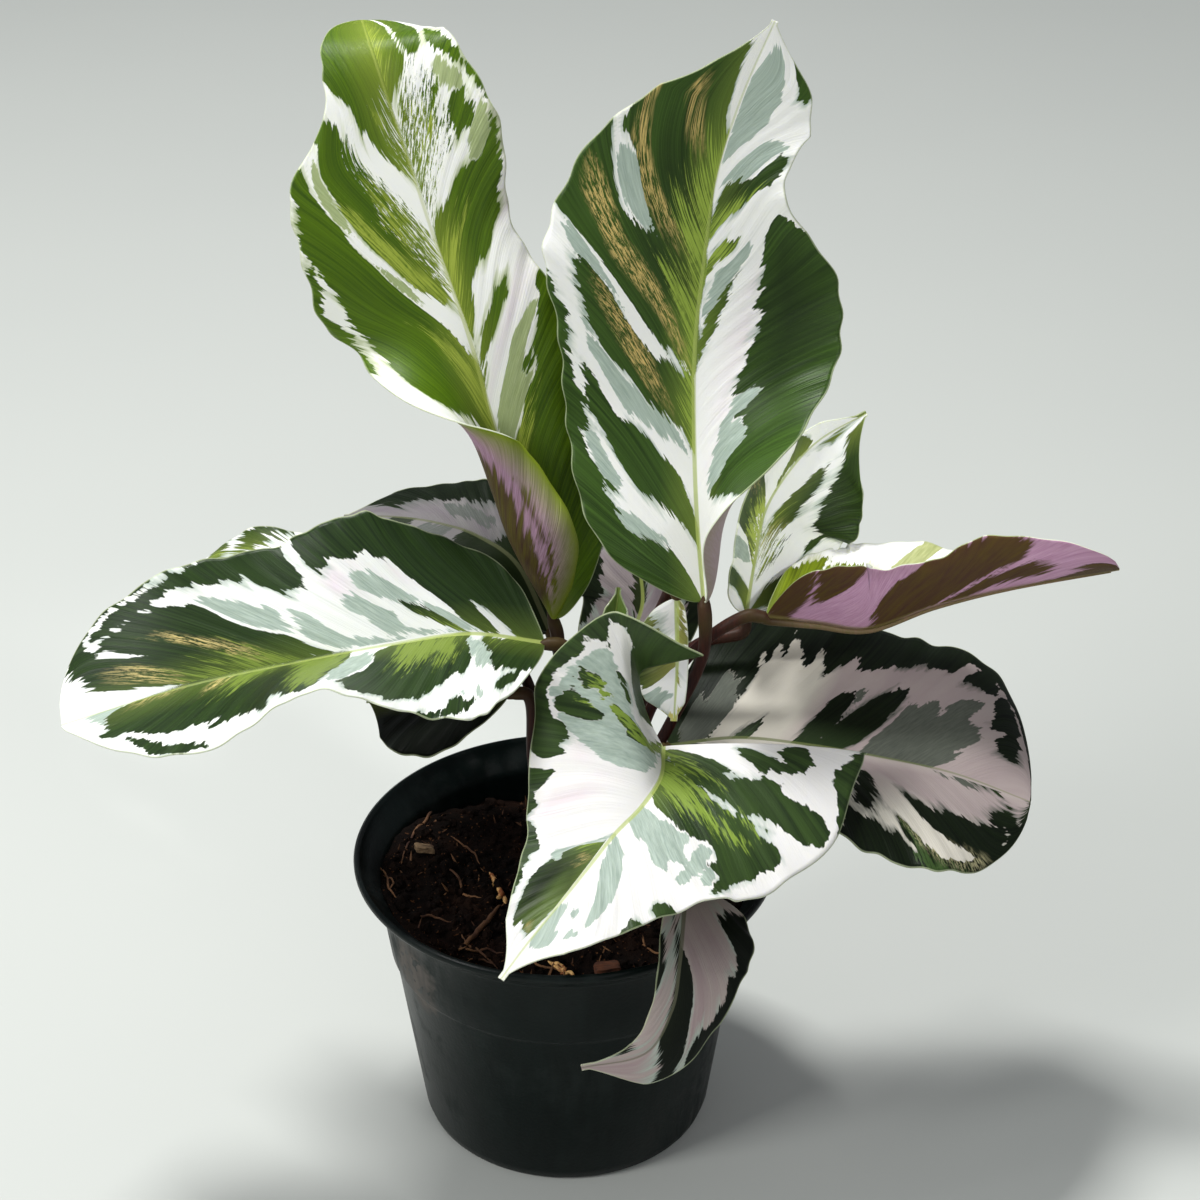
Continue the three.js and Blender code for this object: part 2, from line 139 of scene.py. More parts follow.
floor_material, tree, shader, place = new_material("pale_floor", 0.8)
paleness = cloudy(tree, place, 3.0, 3.0)
colour = mix_colours(tree, paleness, shade(196, 199, 194), shade(203, 206, 200))
tree.links.new(colour, shader.inputs["Base Color"])
floor_half = 3000
floor_level = -0.2
floor_points = [(x * floor_half, y * floor_half, floor_level)
                for x, y in ((-1, -1), (1, -1), (1, 1), (-1, 1))]
floor = mesh_piece("floor", floor_points, [(0, 1, 2, 3)], [floor_material], smooth=False)

world = bpy.data.worlds.new("studio")
world.use_nodes = True
sky = world.node_tree.nodes["Background"].inputs
sky["Color"].default_value = shade(225, 230, 235)
sky["Strength"].default_value = 0.36
bpy.context.scene.world = world
bpy.context.scene.view_settings.view_transform = "Standard"

# Pot
# A 12 cm nursery pot, vacuum-formed or moulded in thin dark green-black plastic, with a foot
# ring, a small ledge two thirds of the way up, a flared rim and a lip. Six holes drain it.
pot_sides = 144
# Each corner is (radius, height), from the foot up the outside, over the rim and down the inside
pot_profile = [
    (0, 1.0), (34.5, 1.0), (35.5, 0.3), (36.2, 0), (39.8, 0), (40.6, 0.35), (41.3, 1.2), (42.3, 4),
    (46.05, 30.5), (49.7, 56.2), (49.9, 56.9), (50.6, 57.6), (50.9, 58.3), (52.35, 68.5),
    (53.8, 79), (54.6, 80.6), (57.2, 82.6), (58.6, 84.2), (59.2, 85.0), (60.0, 85.5),
    (60.45, 86.2), (60.5, 87.0), (60.15, 87.8), (59.5, 88.1), (58.9, 87.7), (58.6, 87.0),
    (57.6, 85.5), (56.2, 83.7), (53.4, 81.3), (52.5, 79.3), (51.0, 68.5), (49.5, 58.4),
    (48.5, 57.2), (48.3, 56.2), (44.7, 30.5), (41.0, 5), (40.0, 2.8), (38.6, 2.2), (0, 2.2),
]
drain_holes = 6
drain_hole_radius = 3.5
drain_circle = 29
drill_sides = 24
sharp_edge = 50
# The chalky patch: its centre, and the distances from it at which it fades out and in
chalk_patch = (-0.0425, -0.029, 0.067)
chalk_fade = (0.014, 0.009)


def turned_piece(name, profile, sides, material):
    """A closed form turned about the Z axis from a profile whose two ends lie on the axis."""
    rings = profile[1:-1]
    angles = np.arange(sides) * 2 * np.pi / sides
    points = [(0, 0, profile[0][1])]
    for radius, height in rings:
        points += [(radius * math.cos(a), radius * math.sin(a), height) for a in angles]
    points.append((0, 0, profile[-1][1]))
    faces = []
    for side in range(sides):
        after = (side + 1) % sides
        faces.append((0, 1 + after, 1 + side))
        for ring in range(len(rings) - 1):
            low = 1 + ring * sides
            faces.append((low + side, low + after, low + sides + after, low + sides + side))
        high = 1 + (len(rings) - 1) * sides
        faces.append((high + side, high + after, len(points) - 1))
    return mesh_piece(name, points, faces, [material])


def maths(tree, operation, first, second=0.0, third=0.0):
    inputs = {0: first, 1: second, 2: third}
    return add_node(tree, "ShaderNodeMath", inputs, operation=operation).outputs[0]


def ramp(tree, value, low, high, to_low=0.0, to_high=1.0):
    inputs = {"Value": value, "From Min": low, "From Max": high, "To Min": to_low, "To Max": to_high}
    return add_node(tree, "ShaderNodeMapRange", inputs, clamp=True).outputs[0]


def scaled(tree, vector, factors):
    inputs = {0: vector, 1: factors}
    return add_node(tree, "ShaderNodeVectorMath", inputs, operation="MULTIPLY").outputs[0]


def dress(tree, shader, colour, height, strength, distance):
    """Joins a colour and a fine relief to the shader."""
    tree.links.new(colour, shader.inputs["Base Color"])
    inputs = {"Height": height, "Strength": strength, "Distance": distance}
    relief = add_node(tree, "ShaderNodeBump", inputs).outputs[0]
    tree.links.new(relief, shader.inputs["Normal"])


def keep_evaluated(piece, modifier):
    """Replaces a piece's mesh by what its modifier makes of it, and removes the modifier."""
    bpy.context.view_layer.update()
    depsgraph = bpy.context.evaluated_depsgraph_get()
    made = bpy.data.meshes.new_from_object(piece.evaluated_get(depsgraph))
    piece.modifiers.remove(modifier)
    piece.data = made


def plastic_material():
    material, tree, shader, place = new_material("pot_plastic", 0.45)
    grain = cloudy(tree, place, 900, 2)
    streaks = cloudy(tree, scaled(tree, place, (1, 1, 0.12)), 260, 4, 0.6)
    blotches = cloudy(tree, place, 38, 5, 0.65)
    dust = maths(tree, "MULTIPLY", ramp(tree, blotches, 0.5, 0.72), ramp(tree, streaks, 0.35, 0.7))
    plain = mix_colours(tree, ramp(tree, streaks, 0.3, 0.7), shade(2, 10, 8), shade(6, 17, 15))
    dusty = mix_colours(tree, maths(tree, "MULTIPLY", dust, 0.25), plain, shade(70, 76, 73))
    # A chalky patch of dried water with small dark pits, under the rim at the front left
    apart = add_node(tree, "ShaderNodeVectorMath", {0: place, 1: chalk_patch}, operation="DISTANCE")
    wander = ramp(tree, blotches, 0.3, 0.7, -0.006, 0.006)
    edge = maths(tree, "ADD", apart.outputs["Value"], wander)
    chalk = maths(tree, "MULTIPLY", ramp(tree, edge, *chalk_fade), ramp(tree, streaks, 0.25, 0.5))
    pits = ramp(tree, cloudy(tree, place, 420, 1), 0.64, 0.6)
    chalk = maths(tree, "MULTIPLY", maths(tree, "MULTIPLY", chalk, pits), 0.5)
    colour = mix_colours(tree, chalk, dusty, shade(120, 112, 106))
    dress(tree, shader, colour, maths(tree, "ADD", grain, streaks), 0.12, 0.0004)
    roughness = ramp(tree, maths(tree, "ADD", dust, chalk), 0.0, 0.6, 0.36, 0.7)
    tree.links.new(roughness, shader.inputs["Roughness"])
    shader.inputs["Specular IOR Level"].default_value = 0.16
    return material


pot_material = plastic_material()
pot = turned_piece("nursery_pot", pot_profile, pot_sides, pot_material)
drill_profile = [(0, -2), (drain_hole_radius, -2), (drain_hole_radius, 5), (0, 5)]
drill = turned_piece("drill", drill_profile, drill_sides, pot_material)
for hole in range(drain_holes):
    angle = 2 * math.pi * (hole + 0.5) / drain_holes
    drill.location = (drain_circle * math.cos(angle) * mm, drain_circle * math.sin(angle) * mm, 0)
    cut = pot.modifiers.new("hole", "BOOLEAN")
    cut.operation = "DIFFERENCE"
    cut.object = drill
    keep_evaluated(pot, cut)
bpy.data.objects.remove(drill)
pot.data.polygons.foreach_set("use_smooth", [True] * len(pot.data.polygons))
pot.data.set_sharp_from_angle(angle=math.radians(sharp_edge))
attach(pot, "root")
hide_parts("pot")

# Soil
# Dark moist peat, loose and crumbly on top, that fills the pot to 14 mm under the rim and is
# heaped higher at the left wall. Its near-black colour is partly painted shade, darker than the peat's
# own brown. Crumbs, short fibres and a few bits of bark lie on it.
soil_height = 74
soil_radius = 51
soil_dip = 2
surface_drop = 0.4
wall_gap = 0.1
heap_height = 9
heap_start = 14
heap_reach = 36
soil_rings = 44
soil_sides = 132
# The buried side as (radius, height), from the pot's floor up
soil_wall = [(0, 2.4), (38.4, 2.4), (40.8, 5), (47.9, 56.6), (49.0, 59)]


def heap_rise(x):
    return heap_height * min(max((-x - heap_start) / heap_reach, 0), 1) ** 1.5


def bumpiness(x, y, height, per_mm, layer):
    return height * noise.noise((x * per_mm, y * per_mm, layer))


def soil_level(x, y):
    """The height of the peat's surface at a point: lumpy, and heaped up at the left wall."""
    lumps = bumpiness(x, y, 1.5, 0.11, 1.7) + bumpiness(x, y, 0.9, 0.33, 5.1)
    crumbs = bumpiness(x, y, 0.45, 0.9, 9.4)
    dip = soil_dip * (math.hypot(x, y) / soil_radius) ** 4
    return soil_height - surface_drop - dip + lumps + crumbs + heap_rise(x)


def peat_material():
    material, tree, shader, place = new_material("peat", 0.93)
    patches = cloudy(tree, place, 70, 4, 0.6)
    grains = cloudy(tree, place, 520, 4, 0.7)
    # Painted shade: these near-black browns are darkened below the peat's own colour for the shade under
    # the leaves
    dark = mix_colours(tree, ramp(tree, grains, 0.32, 0.68), shade(6, 4, 3), shade(24, 15, 10))
    warm = mix_colours(tree, ramp(tree, patches, 0.45, 0.7), dark, shade(36, 21, 13))
    flecks = ramp(tree, cloudy(tree, place, 900, 1), 0.69, 0.72)
    colour = mix_colours(tree, flecks, warm, shade(88, 58, 36))
    dress(tree, shader, colour, grains, 0.8, 0.0012)
    shader.inputs["Specular IOR Level"].default_value = 0.12
    return material


def soil_mesh():
    """A fan at the top, rings out to the pot's wall and down it, and a fan underneath."""
    inner_wall = pot_profile[-8:-14:-1]
    wall_radii = [radius for radius, height in inner_wall]
    wall_heights = [height for radius, height in inner_wall]
    turns = [2 * math.pi * side / soil_sides for side in range(soil_sides)]
    ways = [(math.cos(turn), math.sin(turn)) for turn in turns]
    edge = [np.interp(soil_level(soil_radius * x, soil_radius * y), wall_heights, wall_radii) - wall_gap
            for x, y in ways]
    points = [(0, 0, soil_level(0, 0))]
    for ring in range(1, soil_rings + 1):
        for (x, y), reach in zip(ways, edge):
            radius = reach * ring / soil_rings
            points.append((radius * x, radius * y, soil_level(radius * x, radius * y)))
    for radius, height in soil_wall[:0:-1]:
        points += [(radius * x, radius * y, height) for x, y in ways]
    points.append((0, 0, soil_wall[0][1]))
    last = 1 + (soil_rings + len(soil_wall) - 2) * soil_sides
    sides = [(side, (side + 1) % soil_sides) for side in range(soil_sides)]
    faces = [(0, 1 + side, 1 + after) for side, after in sides]
    for start in range(1, last, soil_sides):
        below = start + soil_sides
        faces += [(start + side, below + side, below + after, start + after) for side, after in sides]
    faces += [(last + after, last + side, len(points) - 1) for side, after in sides]
    return points, faces


soil_points, soil_faces = soil_mesh()
peat = peat_material()
soil = mesh_piece("peat_fill", soil_points, soil_faces, [peat])
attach(soil, "root")
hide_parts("soil")


lump_roughness = 0.55
lump_detail = 1.6
full_turn = 6.3


def form_piece(name, form, materials=()):
    """Turns a finished bmesh into an object."""
    mesh = bpy.data.meshes.new(name)
    form.to_mesh(mesh)
    form.free()
    for material in materials:
        mesh.materials.append(material)
    piece = bpy.data.objects.new(name, mesh)
    bpy.context.collection.objects.link(piece)
    return piece


def lump_piece(name, seed, stretch):
    """A small irregular lump about 1 mm across, with few faces, to scatter on the peat."""
    form = bmesh.new()
    bmesh.ops.create_icosphere(form, subdivisions=2, radius=0.5 * mm)
    for vertex in form.verts:
        direction = vertex.co.normalized()
        swell = noise.noise(direction * lump_detail + Vector((seed, 0, 0)))
        vertex.co *= 1 + lump_roughness * swell
        vertex.co.x *= stretch
    return form_piece(name, form)


def new_geometry_tree(name, inputs):
    """An empty Geometry Nodes tree with these named inputs, and the sockets that carry them."""
    tree = bpy.data.node_groups.new(name, "GeometryNodeTree")
    for label, kind in (("Geometry", "Geometry"), *inputs, ("Finish", "Material")):
        tree.interface.new_socket(label, in_out="INPUT", socket_type="NodeSocket" + kind)
    tree.interface.new_socket("Geometry", in_out="OUTPUT", socket_type="NodeSocketGeometry")
    return tree, tree.nodes.new("NodeGroupInput").outputs


def end_tree(tree, geometry, finish):
    """Makes the copies real, gives them their material and hands them out."""
    real = add_node(tree, "GeometryNodeRealizeInstances", {"Geometry": geometry}).outputs[0]
    done = add_node(tree, "GeometryNodeSetMaterial", {"Geometry": real, "Material": finish})
    tree.links.new(done.outputs[0], tree.nodes.new("NodeGroupOutput").inputs[0])


def scatter_tree(name, pattern):
    """Geometry Nodes that strew copies of one lump over the upward faces of a surface."""
    sizes = [(label, "Float") for label in ("Per square metre", "Smallest", "Largest")]
    tree, given = new_geometry_tree(name, (*sizes, ("Seed", "Int")))
    seed = given["Seed"]
    spread = add_node(tree, "GeometryNodeDistributePointsOnFaces",
                      {"Mesh": given["Geometry"], "Density": given["Per square metre"], "Seed": seed})
    lump = add_node(tree, "GeometryNodeObjectInfo", {"Object": pattern}).outputs["Geometry"]
    turn = add_node(tree, "FunctionNodeRandomValue", {"Seed": seed}, data_type="FLOAT_VECTOR")
    turn.inputs["Max"].default_value = (full_turn, full_turn, full_turn)
    size = add_node(tree, "FunctionNodeRandomValue", {"Seed": seed}, data_type="FLOAT")
    cubed = maths(tree, "POWER", size.outputs[1], 3.0)
    range_ends = {"Value": cubed, "To Min": given["Smallest"], "To Max": given["Largest"]}
    grown = add_node(tree, "ShaderNodeMapRange", range_ends).outputs[0]
    copies = add_node(tree, "GeometryNodeInstanceOnPoints",
                      {"Points": spread.outputs["Points"], "Instance": lump,
                       "Rotation": turn.outputs["Value"], "Scale": grown})
    end_tree(tree, copies.outputs[0], given["Finish"])
    return tree


def run_tree(carrier, tree, values):
    """Runs a Geometry Nodes tree on an object and keeps the plain mesh that comes out."""
    step = carrier.modifiers.new("made", "NODES")
    step.node_group = tree
    for item in tree.interface.items_tree:
        if item.in_out == "INPUT" and item.name in values:
            step[item.identifier] = values[item.name]
    keep_evaluated(carrier, step)


def strewn_piece(name, lump_seed, stretch, per_square_metre, sizes, seed, finish):
    """Lumps strewn on the peat's top, all but the two outermost rings by the wall."""
    ground_count = 1 + (soil_rings - 2) * soil_sides
    ground_faces = [face for face in soil_faces if max(face) < ground_count]
    carrier = mesh_piece(name, soil_points[:ground_count], ground_faces, [])
    pattern = lump_piece(name + "_pattern", lump_seed, stretch)
    values = {"Per square metre": per_square_metre, "Smallest": sizes[0], "Largest": sizes[1],
              "Seed": seed, "Finish": finish}
    run_tree(carrier, scatter_tree(name, pattern), values)
    bpy.data.objects.remove(pattern)
    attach(carrier, "root")


strewn_piece("peat_crumbs", 1.3, 1.0, 165000, (0.7, 3.6), 4, peat)
strewn_piece("peat_lumps", 4.1, 1.5, 16000, (1.6, 5.0), 9, peat)


def fibre_material():
    material, tree, shader, place = new_material("root_fibre", 0.8)
    tone = cloudy(tree, place, 90, 3)
    colour = mix_colours(tree, ramp(tree, tone, 0.35, 0.65), shade(62, 34, 20), shade(138, 98, 62))
    dress(tree, shader, colour, cloudy(tree, place, 1500, 2), 0.5, 0.0003)
    return material


fibre = fibre_material()
strewn_piece("peat_fibres", 7.7, 9.0, 15000, (0.35, 0.9), 21, fibre)

# Loose roots and sunlit shreds
# Fine roots that have come loose lie on the peat, with a few short shreds coloured bright orange to
# nearly white: painted sunlight, for small spots where the sun reaches the peat. Each is a thin round
# tube that follows the lumps of the peat.


def tube_tree():
    """Geometry Nodes that wrap a round tube on an edge path; 'thickness' is its radius."""
    tree, given = new_geometry_tree("tube_on_path", (("Sides", "Int"),))
    path = add_node(tree, "GeometryNodeMeshToCurve", {"Mesh": given["Geometry"]}).outputs[0]
    radius = add_node(tree, "GeometryNodeInputNamedAttribute", {"Name": "thickness"}, data_type="FLOAT")
    ring = add_node(tree, "GeometryNodeCurvePrimitiveCircle",
                    {"Resolution": given["Sides"], "Radius": 1.0}).outputs["Curve"]
    tube = add_node(tree, "GeometryNodeCurveToMesh",
                    {"Curve": path, "Profile Curve": ring, "Scale": radius.outputs["Attribute"],
                     "Fill Caps": True})
    smooth = add_node(tree, "GeometryNodeSetShadeSmooth", {"Geometry": tube.outputs[0]})
    end_tree(tree, smooth.outputs[0], given["Finish"])
    return tree


tube_nodes = tube_tree()


def tube_piece(name, paths, sides, finish):
    """Tubes on one or more paths. A path is a list of points (x, y, z, radius) in millimetres."""
    points = [point for path in paths for point in path]
    shares = [i / (len(path) - 1) for path in paths for i in range(len(path))]
    edges = [(i, i + 1) for i, share in enumerate(shares) if share < 1]
    mesh = bpy.data.meshes.new(name)
    mesh.from_pydata([tuple(c * mm for c in point[:3]) for point in points], edges, [])
    for layer, values in (("thickness", [point[3] * mm for point in points]), ("share", shares)):
        mesh.attributes.new(layer, "FLOAT", "POINT").data.foreach_set("value", values)
    piece = bpy.data.objects.new(name, mesh)
    bpy.context.collection.objects.link(piece)
    run_tree(piece, tube_nodes, {"Sides": sides, "Finish": finish})
    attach(piece, "root")
    return piece


def spline(stations, s):
    """Values through evenly spaced stations, read at an array of shares from 0 to 1."""
    stations = np.asarray(stations, dtype=float)
    s = np.clip(np.asarray(s, dtype=float), 0, 1)
    if len(stations) == 1:
        return np.repeat(stations, len(s), axis=0)
    first = 2 * stations[0] - stations[1]
    end = 2 * stations[-1] - stations[-2]
    held = np.concatenate([[first], stations, [end]])
    u = s * (len(stations) - 1)
    i = np.minimum(u.astype(int), len(stations) - 2)
    f = u - i
    if stations.ndim > 1:
        f = f[:, None]
    before, start, stop, after = held[i], held[i + 1], held[i + 2], held[i + 3]
    linear = stop - before
    square = 2 * before - 5 * start + 4 * stop - after
    cube = 3 * start - before - 3 * stop + after
    return 0.5 * (2 * start + linear * f + square * f ** 2 + cube * f ** 3)


# Each root is (x, y) points and a radius: an arc, a stick and wisps of fibre
loose_roots = [
    ([(-41, 43), (-40, 37), (-41.5, 28), (-45, 18), (-47.4, 4)], 0.45),
    ([(-18.5, -10.8), (-22, -18), (-26, -25), (-30, -32.5)], 0.8),
    ([(-45, -16), (-41, -19), (-37, -18.5), (-32, -20)], 0.35),
    ([(-54, 2), (-51, -4), (-50, -11), (-47, -15)], 0.35),
    ([(-52, -3), (-49, -7), (-50, -12)], 0.3),
    ([(-30, -23), (-27, -28), (-24, -30), (-18, -38)], 0.4),
    ([(-31, -30), (-26, -31), (-21, -29), (-17, -31)], 0.35),
    ([(-27, -37), (-23, -34), (-19, -36)], 0.3),
    ([(-14, -30), (-8, -36), (-2, -38), (4, -43)], 0.35),
    ([(-36, 6), (-31, 2), (-29, -5), (-24, -8)], 0.4),
    ([(-34, 22), (-28, 17), (-25, 10)], 0.3),
    ([(20, -26), (26, -30), (31, -29), (36, -33)], 0.35),
    ([(24, 34), (30, 30), (33, 22), (40, 18)], 0.4),
    ([(-10, 38), (-2, 42), (6, 40), (14, 43)], 0.4),
    ([(-20, -42), (-14, -44), (-8, -43)], 0.3),
    ([(38, -12), (43, -6), (42, 2)], 0.35),
]


root_lift = 0.25
steps_per_bend = 8
thinnest_squared = 0.04
root_sides = 7
shred_sides = 6


def root_path(points, radius):
    """Lays a root on the peat, thinner towards both of its ends."""
    steps = np.linspace(0, 1, steps_per_bend * len(points))
    ends = np.sqrt(np.clip(np.sin(np.pi * steps), thinnest_squared, 1))
    return [(x, y, soil_level(x, y) + radius + root_lift, radius * end)
            for (x, y), end in zip(spline(points, steps), ends)]


root_paths = [root_path(points, radius) for points, radius in loose_roots]
loose = tube_piece("loose_roots", root_paths, root_sides, fibre)

# The sunlit shreds, given in the same way
bark_shreds = [
    ([(-22, 5), (-20.5, 2), (-21.5, -1)], 0.8), ([(-20, 0), (-18.4, -3), (-19.6, -6)], 0.9),
    ([(-17.6, -4), (-17, -8)], 0.7), ([(-4.5, -35), (-1.5, -36.5), (0.5, -38)], 0.7),
    ([(-3, -37), (0, -39), (2.5, -38.5)], 0.8), ([(-1, -41), (1.6, -40.6), (3, -42)], 0.6),
]
shred_paths = [root_path(points, radius) for points, radius in bark_shreds]
# Painted sunlight: the shreds' orange, up to nearly white, stands for the sun's light on the peat
shred_material, tree, shader, place = new_material("painted_sunlight_shreds", 0.7)
grain = ramp(tree, cloudy(tree, place, 420, 3), 0.4, 0.6)
colour = mix_colours(tree, grain, shade(150, 86, 44), shade(255, 206, 130))
tree.links.new(colour, shader.inputs["Base Color"])
shreds = tube_piece("bark_shreds", shred_paths, shred_sides, shred_material)

